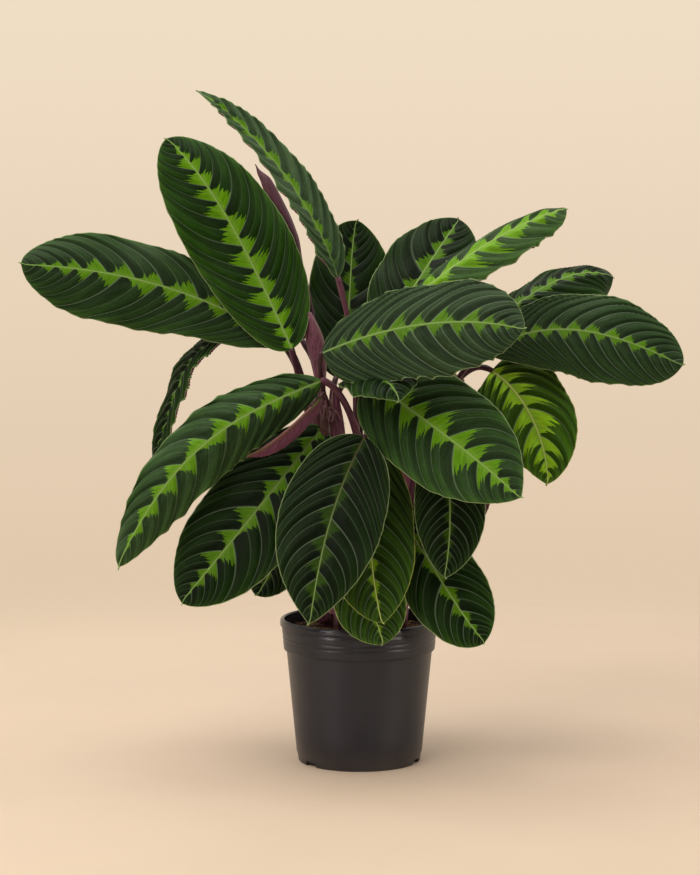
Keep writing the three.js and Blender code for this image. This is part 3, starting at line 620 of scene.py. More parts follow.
def bezier(points, t):
    """Places and directions on a cubic Bezier curve."""
    a, b, c, d = np.array(points, float)
    t = np.asarray(t, float)[..., None]
    place = (1 - t) ** 3 * a + 3 * (1 - t) ** 2 * t * b + 3 * (1 - t) * t ** 2 * c + t ** 3 * d
    along = (1 - t) ** 2 * (b - a) + 2 * (1 - t) * t * (c - b) + t ** 2 * (d - c)
    return place, unit(along)


def curve_through(points):
    """The Bezier points of the cubic curve that passes through four points."""
    a, b, c, d = np.array(points, float)
    return a, (-5 * a + 18 * b - 9 * c + 2 * d) / 6, (2 * a - 9 * b + 18 * c - 5 * d) / 6, d


def outline_share(leaf, u):
    """Half-width of a blade along its length, as a share of its widest."""
    before = 1 - (1 - np.clip(u / leaf["widest"], 0, 1)) ** leaf["shoulder"]
    after = np.clip((u - leaf["widest"]) / (BODY_END - leaf["widest"]), 0, 1)
    return np.where(u < leaf["widest"], np.sqrt(before), (1 - after ** 2.1) ** leaf["point"])


def vein_number(leaf, start, side):
    """Which side vein leaves the midrib at a share of its length, and how far it is to the next."""
    number = leaf["veins"] * (start + VEIN_CROWDING * np.sin(2 * math.pi * start))
    turn = 2.4 * leaf["seed"] + np.where(side > 0, 2.0, 0.0)
    number = number + VEIN_WANDER * (np.sin(11 * start + turn) + np.sin(19 * start + 2 * turn))
    return number + np.where(side > 0, OTHER_SIDE + 20, 0) + 40 * (1 + leaf["seed"])


def shape_blade(leaf, u, v):
    """Places of the blade's upper side in millimetres, and its marks, at u along and v across it."""
    rib, along = bezier(curve_through(leaf["rib"]), u)
    stalk_face, tip_face = np.array(leaf["faces"], float)
    face = stalk_face + (tip_face - stalk_face) * u[:, None]
    face = unit(face - along * np.sum(face * along, axis=1, keepdims=True))
    across = np.cross(along, face)
    away = np.abs(v)
    side = np.sign(v)

    # The outline is never narrower than the midrib, and each vein draws the margin in a little.
    share = outline_share(leaf, u)
    tip = RIB_HALF[1] + TIP_FOOT * np.clip((1 - u) / TIP_LENGTH, 0, 1) ** 1.5
    rib_half = RIB_HALF[0] + (tip - RIB_HALF[0]) * smooth(u, 0.5, 0.97)
    half = ((leaf["width"] / 2 * share) ** 4 + rib_half ** 4) ** 0.25
    slant = half * away * (VEIN_SLANT[0] + VEIN_SLANT[1] * away ** 2)
    slant = slant * (1 + VEIN_SLANT[2] * smooth(u, 0.5, 1))
    vein = vein_number(leaf, u - slant / math.dist(leaf["rib"][0], leaf["rib"][3]), side)
    uneven = 0.65 + 0.35 * np.sin(1.7 * vein + side)
    half *= 1 + leaf["scallop"] * uneven * np.cos(2 * math.pi * vein) * away ** 6 * smooth(half, 8, 20)
    rib_mm = half * away

    # The relief: slow waves, pillows between the veins, a ripple at the margin and the midrib's groove.
    wave = leaf["wave"] * share * v * v * np.sin(2 * math.pi * WAVES * u + np.where(v > 0, 0, WAVE_LAG))
    pillow = 0.6 * np.abs(np.sin(math.pi * vein)) ** 1.4 + 0.4 * np.abs(np.sin(2 * math.pi * vein)) ** 1.3
    quilt = PILLOW * leaf["quilt"] * pillow * smooth(away, 0.03, 0.3)
    ripple = leaf["ripple"] * RIPPLE * uneven * np.sin(4 * math.pi * vein + 0.6) * away ** 4
    ripple += leaf["frill"] * np.sin(2 * math.pi * vein) * away ** 3
    ends = smooth(u, 0.0, 0.08) * (1 - smooth(u, 0.86, 0.96))
    channel = CHANNEL[1] * (np.exp(-(rib_mm / CHANNEL[0]) ** 2) * (1 - u))
    lift = wave + ends * (quilt + ripple) - channel

    # Each half is folded up or down at the midrib and curls on towards the margin.
    tilt = np.radians(leaf["fold"] + leaf["curl"] * away)
    mean = np.radians(leaf["fold"] + leaf["curl"] * away / 2)
    place = rib + across * (side * rib_mm * np.cos(mean))[:, None]
    place += face * (rib_mm * np.sin(mean) + lift)[:, None]
    hook = TIP_HOOK * np.clip((u - 1) / (1.4 * TIP_LENGTH) + 1, 0, 1) ** 2
    place += across * (hook if leaf["seed"] % 2 else -hook)[:, None]
    normal = face * np.cos(tilt)[:, None] - across * (side * np.sin(tilt))[:, None]
    place += normal * UPPER_FACE

    # How far the flame reaches: less at both ends, and never the whole half.
    reach = leaf["flame"] * (0.55 + 0.45 * np.sin(math.pi * np.clip(1.05 * u, 0, 1)))
    reach = reach * (1 - smooth(u, *FLAME_END)) + 0.01
    reach /= (1 + (reach / (FLAME_SHARE * half)) ** 4) ** 0.25
    return place, np.stack([vein, u, rib_mm, reach, half * (1 - away), away], axis=1)


def blade_mesh(name, leaf):
    """One blade as a fine mesh with its marks and looks as attributes, and the marks themselves."""
    bm = bmesh.new()
    bmesh.ops.create_grid(bm, x_segments=LENGTH_STEPS, y_segments=WIDTH_STEPS, size=1)
    bmesh.ops.reverse_faces(bm, faces=bm.faces)
    mesh = mesh_from(bm, name)
    grid = np.zeros(len(mesh.vertices) * 3)
    mesh.vertices.foreach_get("co", grid)
    # The rows are closer at both ends, and the columns closer at the midrib.
    s = (grid[0::3] + 1) / 2
    u = s - 0.5 * np.sin(2 * math.pi * s) / (2 * math.pi)
    v = np.sign(grid[1::3]) * (0.75 * np.abs(grid[1::3]) + 0.25 * grid[1::3] ** 2)
    place, marks = shape_blade(leaf, u, v)
    mesh.vertices.foreach_set("co", (place * MM).ravel())
    columns = {"vein_place": marks[:, 0:3], "vein_reach": marks[:, 3:6]}
    for label, keys in LOOKS.items():
        columns[label] = np.tile([leaf[key] for key in keys], (len(u), 1))
    for label, values in columns.items():
        layer = mesh.attributes.new(label, "FLOAT_VECTOR", "POINT")
        layer.data.foreach_set("vector", np.ascontiguousarray(values, dtype=np.float32).ravel())
    mesh.update()
    return mesh, marks


def read(tree, name):
    """The three numbers of one of a mesh's attributes."""
    vector = add(tree, "Attribute", attribute_name=name).outputs["Vector"]
    return add(tree, "SeparateXYZ", [vector]).outputs


def leaf_upper():
    """The leaf's upper side: a velvety skin whose dark field drinks the light, with a light green
    flame that ends in teeth between the side veins, finely streaked along them."""
    material, tree, skin = new_material("calathea leaf upper side")
    vein, along, rib = read(tree, "vein_place")
    reach, edge, away = read(tree, "vein_reach")
    lime, dull, spacing = read(tree, "tint")
    slim, lines, painted_sheen = read(tree, "habit")
    dark, brown, minor = read(tree, "shade")

    # Fine streaks that run out along the side veins, a slower wander of the colour, and the nap.
    slow = add(tree, "Math", [rib, STREAK_RUN], operation="MULTIPLY")
    fine = add(tree, "Math", [vein, STREAKS], operation="MULTIPLY")
    fine_at = add(tree, "CombineXYZ", [fine, slow])
    vein_at = add(tree, "CombineXYZ", [vein, slow])
    streaks = add(tree, "TexNoise", {"Vector": fine_at, "Scale": 1.0, "Detail": 2.0, "Roughness": 0.6})
    wander = add(tree, "TexNoise", {"Vector": vein_at, "Scale": 0.9, "Detail": 2.0})
    velvet = add(tree, "TexNoise", {"Vector": vein_at, "Scale": 7.0, "Detail": 4.0, "Roughness": 0.75})

    # The flame reaches furthest along each side vein and falls back to the next one towards the tip.
    # Its ragged edge has a second tooth half way, and small ones at the nerves between.
    phase = add(tree, "Math", [vein], operation="FRACT")
    behind = add(tree, "Math", [1.0, phase], operation="SUBTRACT")
    slope = add(tree, "Math", [behind, slim], operation="POWER")
    cut = add(tree, "MapRange", [phase, 0.95, 0.5], interpolation_type="SMOOTHSTEP")
    halves = add(tree, "Math", [vein, 2.0], operation="MULTIPLY")
    second = add(tree, "Math", [halves], operation="FRACT")
    jag = add(tree, "Math", [second, -0.3, 1.0], operation="MULTIPLY_ADD")
    tooth = slope
    for factor in (cut, jag):
        tooth = add(tree, "Math", [tooth, factor], operation="MULTIPLY")
    number = add(tree, "Math", [vein], operation="FLOOR")
    draw = add(tree, "TexWhiteNoise", {"W": number}, noise_dimensions="1D")
    vary = add(tree, "Math", [draw, 0.5, 0.75], operation="MULTIPLY_ADD")
    long = add(tree, "Math", [tooth, vary, 0.06], operation="MULTIPLY_ADD")
    nerve_at = add(tree, "Math", [vein, NERVES, wander], operation="MULTIPLY_ADD")
    nerve = add(tree, "Math", [nerve_at], operation="FRACT")
    ragged = add(tree, "Math", [nerve, -0.5, streaks], operation="MULTIPLY_ADD")
    rough = add(tree, "Math", [ragged, 0.75, 0.85], operation="MULTIPLY_ADD")
    limit = long
    for factor in (rough, reach):
        limit = add(tree, "Math", [limit, factor], operation="MULTIPLY")
    inside = add(tree, "Math", [limit, rib], operation="SUBTRACT")
    blur = add(tree, "Math", [dull, 3.0, 1.0], operation="MULTIPLY_ADD")
    inside = add(tree, "Math", [inside, blur], operation="DIVIDE")
    flame = add(tree, "MapRange", [inside, -0.5, 0.8], interpolation_type="SMOOTHSTEP")

    # A dull flame is weak near the stalk, and on a leaf with painted sheen it starts late.
    start = add(tree, "MapRange", [along, 0.0, 0.8, -1.0, -0.8])
    faded = add(tree, "Math", [dull, start, 1.0], operation="MULTIPLY_ADD")
    foot = add(tree, "MapRange", [along, 0.18, 0.02, 0.0, -1.4])
    kept = add(tree, "Math", [foot, painted_sheen, 1.0], operation="MULTIPLY_ADD", use_clamp=True)
    for factor in (faded, kept):
        flame = add(tree, "Math", [flame, factor], operation="MULTIPLY")

    # The dark field is darkest round the flame and greener towards the margin.
    outwards = add(tree, "MapRange", [away, 0.2, 0.8])
    mottled = add(tree, "Math", [outwards, wander], operation="MULTIPLY")
    near_edge = add(tree, "MapRange", [edge, FIELD_FADE, 0.0, 0.0, 0.4], interpolation_type="SMOOTHSTEP")
    gain = add(tree, "Math", [lime, 1.2, 1.0], operation="MULTIPLY_ADD")
    near_edge = add(tree, "Math", [near_edge, gain], operation="MULTIPLY")
    limy = add(tree, "Math", [lime, 0.55], operation="MULTIPLY")
    field = linear(FIELD_DARK)
    # A leaf's grey share lays a painted sheen over its field, where the velvet catches light.
    for share, coat in ((mottled, FIELD_GREEN), (near_edge, FIELD_EDGE), (painted_sheen, FIELD_PAINTED_SHEEN),
                        (limy, FIELD_LIME)):
        field = add(tree, "Mix", {"Factor": share, "A": field, "B": linear(coat)}, data_type="RGBA")
    nap = add(tree, "MapRange", [velvet, 0.3, 0.7, 0.75, 1.3])
    # Painted light and shade on the quilting: each stripe between two side veins is painted lighter on one
    # side and darker on the other.
    painted_quilt_light = add(tree, "Math", [vein, 2 * math.pi, -0.6], operation="MULTIPLY_ADD")
    painted_quilt_light = add(tree, "Math", [painted_quilt_light], operation="SINE")
    painted_quilt_light = add(tree, "Math", [painted_quilt_light, 0.3, 1.0], operation="MULTIPLY_ADD")
    # Painted shade over the whole field of a leaf that lies in shadow, and painted light where its dark share
    # is below zero.
    field_painted_shade = add(tree, "Math", [1.0, dark], operation="SUBTRACT")
    shade = add(tree, "MapRange", [streaks, 0.25, 0.75, 0.62, 1.38])
    for factor in (nap, painted_quilt_light, field_painted_shade):
        shade = add(tree, "Math", [shade, factor], operation="MULTIPLY")
    field = add(tree, "VectorMath", [field, shade], operation="MULTIPLY")

    # The flame pales towards the midrib.
    inner = add(tree, "Math", [rib, reach], operation="DIVIDE")
    pale = add(tree, "MapRange", [inner, 0.3, 0.0, 0.0, 0.7])
    # The painted sheen greys the flame too.
    flame_painted_sheen = add(tree, "Math", [painted_sheen, 0.4], operation="MULTIPLY")
    light = linear(FLAME)
    for share, coat in ((lime, FLAME_LIME), (pale, FLAME_RIB), (flame_painted_sheen, FLAME_PAINTED_SHEEN)):
        light = add(tree, "Mix", {"Factor": share, "A": light, "B": linear(coat)}, data_type="RGBA")
    soft = add(tree, "MapRange", [streaks, 0.25, 0.75, 0.72, 1.28])
    # The same painted shade, and painted light below zero, over the flame.
    flame_painted_shade = add(tree, "Math", [dark, -0.6, 1.0], operation="MULTIPLY_ADD")
    soft = add(tree, "Math", [soft, flame_painted_shade], operation="MULTIPLY")
    light = add(tree, "VectorMath", [light, soft], operation="MULTIPLY")

    # Side veins are thin pale lines, with a fainter one half way between two.
    beside = add(tree, "Math", [vein, 0.5], operation="PINGPONG")
    beside = add(tree, "Math", [beside, spacing], operation="MULTIPLY")
    line = add(tree, "MapRange", [beside, *VEIN_LINE], interpolation_type="SMOOTHSTEP")
    between = add(tree, "Math", [vein, 0.25], operation="PINGPONG")
    between = add(tree, "Math", [between, spacing], operation="MULTIPLY")
    faint = add(tree, "MapRange", [between, *MINOR_LINE], interpolation_type="SMOOTHSTEP")
    weak = add(tree, "Math", [faint, minor], operation="MULTIPLY")
    both = add(tree, "Math", [line, weak], operation="MAXIMUM")
    drawn = add(tree, "Math", [both, lines], operation="MULTIPLY")

    # The midrib narrows to the tip, and a thin pale line runs round the margin.
    width = add(tree, "Math", [along, -0.7, 1.2], operation="MULTIPLY_ADD")
    over = add(tree, "Math", [rib, width], operation="DIVIDE")
    midrib = add(tree, "MapRange", [over, 1.3, 0.3, 0.0, 0.75], interpolation_type="SMOOTHSTEP")
    old = add(tree, "MapRange", [along, 0.1, 0.8, 1.0, 0.2])
    browned = add(tree, "Math", [old, brown], operation="MULTIPLY")
    rib_colour = linear(MIDRIB)
    for share, coat in ((lime, MIDRIB_LIME), (browned, MIDRIB_OLD)):
        rib_colour = add(tree, "Mix", {"Factor": share, "A": rib_colour, "B": linear(coat)}, data_type="RGBA")
    border = add(tree, "MapRange", [edge, *MARGIN_LINE, 0.0, 0.65], interpolation_type="SMOOTHSTEP")
    hem = add(tree, "Mix", {"Factor": lime, "A": linear(MARGIN), "B": linear(MARGIN_LIME)}, data_type="RGBA")
    colour = field
    for share, coat in ((flame, light), (drawn, linear(VEIN)), (midrib, rib_colour), (border, hem)):
        colour = add(tree, "Mix", {"Factor": share, "A": colour, "B": coat}, data_type="RGBA")

    # Veins are sunk, and the skin between them is finely ribbed.
    sunk = add(tree, "Math", [both, -1.0, streaks], operation="MULTIPLY_ADD")
    relief = add(tree, "Bump", {"Height": sunk, "Strength": 0.6, "Distance": 0.4 * MM})
    gloss = add(tree, "MapRange", [flame, 0.0, 1.0, 0.44, 0.38])
    wire(tree, skin, {"Base Color": colour, "Roughness": gloss, "Normal": relief, "IOR": 1.42,
                      "Specular IOR Level": 0.1, "Sheen Weight": 0.012, "Sheen Roughness": 0.4,
                      "Sheen Tint": linear(SHEEN)})
    return material


def leaf_under():
    """The leaf's underside: wine purple and satin, paler between the veins, with a raised midrib."""
    material, tree, skin = new_material("calathea leaf underside")
    vein, along, rib = read(tree, "vein_place")
    fine = add(tree, "Math", [vein, 8.0], operation="MULTIPLY")
    slow = add(tree, "Math", [rib, 0.08], operation="MULTIPLY")
    fine_at = add(tree, "CombineXYZ", [fine, slow])
    streaks = add(tree, "TexNoise", {"Vector": fine_at, "Scale": 1.0, "Detail": 3.0})
    beside = add(tree, "Math", [vein, 0.5], operation="PINGPONG")
    line = add(tree, "MapRange", [beside, 0.12, 0.0, 0.0, 0.6])
    midrib = add(tree, "MapRange", [rib, 3.2, 1.6, 0.0, 0.8], interpolation_type="SMOOTHSTEP")
    colour = linear(WINE)
    for share, coat in ((streaks, WINE_LIGHT), (line, WINE), (midrib, WINE_RIB)):
        colour = add(tree, "Mix", {"Factor": share, "A": colour, "B": linear(coat)}, data_type="RGBA")
    relief = add(tree, "Bump", {"Height": streaks, "Strength": 0.4, "Distance": 0.3 * MM})
    wire(tree, skin, {"Base Color": colour, "Normal": relief, "Roughness": 0.48, "IOR": 1.42,
                      "Sheen Weight": 0.1})
    return material


upper_skin = leaf_upper()
under_skin = leaf_under()
for order, (name, given) in enumerate(LEAVES.items()):
    leaf = {**PLAIN_LEAF, "seed": order, **given}
    leaf["spacing"] = math.dist(leaf["rib"][0], leaf["rib"][3]) / leaf["veins"]
    mesh, marks = blade_mesh("leaf_" + name, leaf)
    rolled_up = name == "curled"
    slot = "leaf_underside" if rolled_up else "leaf"
    piece = add_piece("leaf_" + name, mesh, [upper_skin, under_skin], slot, "blade_" + name)
    thick = piece.vertex_groups.new(name="thickness")
    keel = np.exp(-(marks[:, 2] / KEEL_HALF) ** 2) * (1 - KEEL_TAPER * marks[:, 1])
    weights = (BLADE_THICKNESS + (KEEL_THICKNESS - BLADE_THICKNESS) * keel) / KEEL_THICKNESS
    for i, weight in enumerate(weights.tolist()):
        thick.add((i,), weight, "REPLACE")
    shell = piece.modifiers.new("thickness", "SOLIDIFY")
    shell.thickness = KEEL_THICKNESS * MM
    shell.offset = -1
    shell.vertex_group = "thickness"
    shell.use_rim = True
    shell.material_offset = 1
    shell.material_offset_rim = 1 if rolled_up else 0

# ---- The shoots ----
# Five shoots stand in the soil. Each is a bundle of overlapping sheaths, from which the stalks part one
# by one: slim, satin, maroon, and a little swollen where they meet the blade.

# Where each bundle stands in the soil, its radius at the foot, and the height at which it ends.
SHOOTS = {
    "left": dict(foot=(-36, 6), radius=6.6, top=330),
    "front": dict(foot=(-22, -22), radius=5.6, top=320),
    "middle": dict(foot=(-4, 10), radius=5, top=300),
    "right": dict(foot=(46, -2), radius=4.6, top=210),
    "back": dict(foot=(16, 44), radius=6, top=230),
}
# A leaf's stalk parts from its shoot at a height, or below the bundle's end where that is lower, and
# rises. It arches over the last stretch to its leaf, unless the way out of the shoot and the way into
# the leaf are given. Bare is how fully its own dark skin takes over from the mauve sheath, and its radii
# are those at the foot and at the leaf.
PLAIN_STALK = dict(parts=400, rise=90, arch=60, out=None, lead=None, bare=1.0, radii=(4.2, 2.9))
STALKS = {
    "top_left": dict(shoot="left", out=(-14, -6, 70), lead=(7, 0, -36)),
    "far_left": dict(shoot="left", out=(-22, -4, 110), lead=(20, -6, -14)),
    "top_middle": dict(shoot="middle", rise=130, arch=90, bare=0.2),
    "back_upright": dict(shoot="middle"),
    "back_right": dict(shoot="back", arch=70),
    "upper_right": dict(shoot="back", arch=90),
    "centre_right": dict(shoot="front", out=(-8, -10, 100), lead=(-10, 8, -14)),
    "under_centre": dict(shoot="front", arch=40),
    "lower_right": dict(shoot="middle", rise=120, lead=(-12, 10, 4)),
    "right_low": dict(shoot="right", rise=120),
    "far_right": dict(shoot="right", rise=120),
    "right_back": dict(shoot="right", rise=120, arch=70),
    "left_low": dict(shoot="front", parts=200, out=(56, -10, 100), lead=(27, 4, 2), bare=0.5,
                     radii=(8, 3.6)),
    "curled": dict(shoot="front", out=(-6, -24, 110), lead=(4, 8, 16), radii=(3.4, 1.4)),
    "low_left": dict(shoot="front", out=(6, -12, 70), lead=(14, 8, 16)),
    "front": dict(shoot="front", parts=200, out=(16, -20, 90), lead=(2, 26, -4)),
    "front_green": dict(shoot="front", parts=230, rise=60),
    "front_small": dict(shoot="front", parts=175, rise=50, arch=35),
    "right_mid": dict(shoot="right", rise=100),
    "right_bottom": dict(shoot="right", parts=165, rise=70),
    "left_hanging": dict(shoot="left", out=(-26, 2, 160), lead=(58, -12, 16)),
    "behind_left": dict(shoot="left", parts=190, rise=60, arch=50),
    "back_left": dict(shoot="back"),
    "back_middle": dict(shoot="back"),
    "back_high_left": dict(shoot="left"),
    "back_high_right": dict(shoot="back"),
    "back_low_left": dict(shoot="back", rise=70, arch=50),
    "back_low": dict(shoot="back", rise=90, arch=50),
    "back_right_low": dict(shoot="right", rise=90, arch=50),
}
SHEATHED = 40  # how far below the bundle's end a stalk starts at least
FOOT_DEPTH = 30  # of the shoots' feet in the soil
STALK_STEPS = 44
STALK_SIDES = 14
STALK_JOINT = (0.5, 0.95, 0.03)  # the swelling below the blade: its height, and its place and half-length
BUNDLE_STEPS = 60
BUNDLE_SIDES = 30
BUNDLE_SLIMMING = 0.25
DRY_HEIGHTS = (150, 260)  # between which the dried brown at a bundle's foot ends
STALK_DRY_HEIGHTS = (150, 240)

# Open sheaths: the shoot, four control places and radii of their curve from foot to tip, the way that
# their back faces and how far they wrap round in degrees, and how dry they are.
SHEATHS = (
    dict(shoot="middle", path=((-34, -10, 330), (-41, -16, 395), (-42, -14, 440), (-48, -10, 482)),
         radii=(4, -4, 17, 11), faces=-125, wrap=210, dry=0.0),
    dict(shoot="front", path=((-24, -32, 165), (-24, -40, 260), (-20, -44, 330), (-30, -44, 404)),
         radii=(9, 10, 12, 8), faces=-60, wrap=220, dry=0.15),
    dict(shoot="front", path=((-12, -26, 150), (-8, -34, 230), (-10, -36, 300), (-14, -36, 348)),
         radii=(7, 8, 8, 5), faces=-60, wrap=210, dry=0.3),
    dict(shoot="front", path=((-30, -38, 250), (-36, -50, 310), (-38, -54, 345), (-33, -56, 384)),
         radii=(8, 9, 10, 4), faces=-120, wrap=190, dry=1.4),
    dict(shoot="left", path=((-38, -4, 150), (-40, -12, 250), (-43, -16, 320), (-43, -22, 392)),
         radii=(8, 8, 9, 7), faces=-110, wrap=220, dry=0.5),
    dict(shoot="left", path=((-33, 2, 145), (-31, -4, 190), (-30, -6, 240), (-26, -8, 290)),
         radii=(7, 8, 8, 6), faces=-60, wrap=200, dry=0.8),
    dict(shoot="back", path=((16, 50, 145), (16, 54, 200), (14, 54, 260), (8, 58, 318)),
         radii=(7, 8, 8, 5), faces=90, wrap=220, dry=0.3),
    dict(shoot="right", path=((46, -4, 142), (47, -6, 180), (48, -7, 220), (50, -9, 262)),
         radii=(5, 6.5, 7, 5), faces=-90, wrap=220, dry=0.3),
)
SHEATH_STEPS = 60
SHEATH_SIDES = 16
SHEATH_LENGTH = 300  # over which the fibres' pattern runs
SHEATH_THICKNESS = 0.6
KNOT = (-34, -60, 388)  # where dried shreds of old sheaths hang among the stalks
KNOT_SPREAD = (4, 2, 6)
SHREDS = 20
SHRED_LENGTH = (8, 30)
SHRED_RADIUS = (0.6, 1.4)
SHRED_STEPS = 8

MAROON = "#552838"
MAUVE = "#925c72"
SHEATH_PALE = "#a98a86"
STALK_BROWN = "#4a2e22"
STALK_DARK = "#2c151b"


def stalk_path(name, steps):
    """Places along a leaf's stalk, from inside its bundle to the blade."""
    stalk = {**PLAIN_STALK, **STALKS[name]}
    shoot = SHOOTS[stalk["shoot"]]
    start = np.array((*shoot["foot"], min(stalk["parts"], shoot["top"] - SHEATHED)), float)
    rib, into = bezier(curve_through(LEAVES[name]["rib"]), [0.0])
    end = rib[0] + into[0] * 0.5
    lead = end + (stalk["lead"] or -into[0] * stalk["arch"])
    out = stalk["out"] or (0, 0, stalk["rise"])
    return bezier((start, start + out, lead, end), np.linspace(0, 1, steps + 1))[0]


def open_sheath(sheath):
    """One sheath as a bmesh: a thin gutter round its path, with long fibres, drawn out to a point."""
    bm = bmesh.new()
    fibre = vector_layer(bm, "fibre")
    mark = vector_layer(bm, "mark")
    t = np.linspace(0, 1, SHEATH_STEPS + 1)
    path, along = bezier(sheath["path"], t)
    radii = bezier([(radius, 0, 0) for radius in sheath["radii"]], t)[0][:, 0]
    wrap = math.radians(sheath["wrap"]) / 2 * np.sqrt(1 - smooth(t, 0.5, 1.06))
    made = bmesh.ops.create_grid(bm, x_segments=SHEATH_STEPS, y_segments=SHEATH_SIDES, size=1)
    for vert in made["verts"]:
        i = round((vert.co.x + 1) / 2 * SHEATH_STEPS)
        across = vert.co.y
        turn = math.radians(sheath["faces"]) + wrap[i] * across
        out = np.array((math.cos(turn), math.sin(turn), 0.0))
        out = unit(out - along[i] * np.dot(out, along[i]))
        pleat = 1 + 0.03 * math.cos(9 * across) + 0.05 * t[i] * math.sin(5 * across + 6 * t[i])
        vert.co = Vector((path[i] + radii[i] * pleat * out) * MM)
        vert[fibre] = (radii[i] * math.cos(turn), radii[i] * math.sin(turn), SHEATH_LENGTH * t[i])
        vert[mark] = (0.0, sheath["dry"], 0.9 * float(smooth(abs(across), 0.6, 1.0)))
    bmesh.ops.remove_doubles(bm, verts=made["verts"], dist=0.02 * MM)
    bmesh.ops.recalc_face_normals(bm, faces=bm.faces)
    bmesh.ops.solidify(bm, geom=bm.faces, thickness=SHEATH_THICKNESS * MM)
    return bm


def add_shreds(bm):
    """Adds the dried shreds of old sheaths: short brown fibres that hang at the knot of stalks."""
    rng = np.random.default_rng(5)
    s = np.linspace(0, 1, SHRED_STEPS + 1)
    for i in range(SHREDS):
        foot = np.array(KNOT) + rng.normal(0, 1, 3) * KNOT_SPREAD
        way = unit(rng.normal(0, 0.25, 3) + (0.05, -0.1, -1)) * rng.uniform(*SHRED_LENGTH)
        path = foot + way * s[:, None] + rng.normal(0, 2, 3) * s[:, None] ** 2
        mark = (0, rng.uniform(0.4, 1.4), rng.uniform(0, 0.7))
        tube(bm, path, rng.uniform(*SHRED_RADIUS) * (1.1 - s), 6, np.tile(mark, (len(s), 1)))


def stalk_skin():
    """Stalks and sheaths: a satin skin over long fibres, mauve on the sheaths, maroon on the stalks,
    and brown and papery where old sheaths have dried near the soil."""
    material, tree, skin = new_material("calathea stalk and sheath")
    fibre = add(tree, "Attribute", attribute_name="fibre").outputs["Vector"]
    share, dry, pale = read(tree, "mark")
    drawn = add(tree, "Mapping", {"Vector": fibre, "Scale": (1.5, 1.5, 0.03)})
    streaks = add(tree, "TexNoise", {"Vector": drawn, "Scale": 1.0, "Detail": 4.0, "Roughness": 0.65})
    blotches = add(tree, "TexNoise", {"Vector": fibre, "Scale": 0.09, "Detail": 3.0})
    threads = add(tree, "MapRange", [streaks, 0.36, 0.64])
    spots = add(tree, "MapRange", [blotches, 0.4, 0.65, 0.3, 1.0])
    browned = add(tree, "Math", [dry, spots], operation="MULTIPLY")
    maroon = linear(MAROON)
    bare = add(tree, "Mix", {"Factor": threads, "A": linear(STALK_DARK), "B": maroon}, data_type="RGBA")
    colour = maroon
    for amount, coat in ((threads, linear(MAUVE)), (pale, linear(SHEATH_PALE)), (share, bare),
                         (browned, linear(STALK_BROWN))):
        colour = add(tree, "Mix", {"Factor": amount, "A": colour, "B": coat}, data_type="RGBA")
    relief = add(tree, "Bump", {"Height": streaks, "Strength": 0.6, "Distance": 0.5 * MM})
    wire(tree, skin, {"Base Color": colour, "Normal": relief, "Roughness": 0.42, "IOR": 1.45})
    return material


stalk_material = stalk_skin()
for shoot_name, shoot in SHOOTS.items():
    bm = bmesh.new()
    for sheath in [s for s in SHEATHS if s["shoot"] == shoot_name]:
        one = open_sheath(sheath)
        part = bpy.data.meshes.new("sheath")
        one.to_mesh(part)
        one.free()
        bm.from_mesh(part)
        bpy.data.meshes.remove(part)
    if shoot_name == "front":
        add_shreds(bm)
    foot = np.array((*shoot["foot"], SOIL_EDGE - FOOT_DEPTH), float)
    t = np.linspace(0, 1, BUNDLE_STEPS + 1)
    path = foot + t[:, None] * (0, 0, shoot["top"] - foot[2])
    radii = shoot["radius"] * (1 - BUNDLE_SLIMMING * t) * (1 - 0.5 * smooth(t, 0.94, 1))
    dry = 1 - smooth(path[:, 2], *DRY_HEIGHTS)
    tube(bm, path, radii, BUNDLE_SIDES, np.stack([0 * t, dry, 0 * t], axis=1), ridges=0.07)
    for name in [n for n in STALKS if STALKS[n]["shoot"] == shoot_name]:
        stalk = {**PLAIN_STALK, **STALKS[name]}
        path = stalk_path(name, STALK_STEPS)
        t = np.linspace(0, 1, STALK_STEPS + 1)
        foot_radius, top_radius = stalk["radii"]
        swelling, joint, joint_half = STALK_JOINT
        radii = foot_radius + (top_radius - foot_radius) * smooth(t, 0.1, 0.7)
        radii = radii + swelling * np.exp(-((t - joint) / joint_half) ** 2)
        bare = stalk["bare"] * smooth(t, 0.25, 0.6)
        dry = 0.8 * (1 - smooth(path[:, 2], *STALK_DRY_HEIGHTS))
        tube(bm, path, radii, STALK_SIDES, np.stack([bare, dry, 0 * t], axis=1), ridges=0.03)
    close_tubes(bm)
    add_piece("shoot_" + shoot_name + "_stalks", mesh_from(bm, "stalks"), [stalk_material], "stalk",
              "shoot_" + shoot_name)

# ---- The rolled leaf ----
# The youngest leaf is still rolled up round itself, purple outside, and stands in the open sheath of
# its stalk like a spike.

ROLLED_RIB = ((-49, 30, 462), (-65, 40, 533), (-87, 50, 587), (-112, 60, 638))
ROLLED_RADII = (  # of its swellings, at shares of its length
    (0, 3.5), (0.34, 4.2), (0.46, 6.2), (0.6, 7.4), (0.8, 6.8), (0.91, 5.6), (0.95, 1.2), (1, 0.35))
ROLLED_LEAN = 3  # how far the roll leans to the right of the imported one
ROLLED_STEPS = 120
ROLLED_SIDES = 40
ROLLED_BODY = 0.85  # radius before the roll's turns and ridges add to it
ROLLED_SOFTENING = 11  # steps over which the radii run into each other

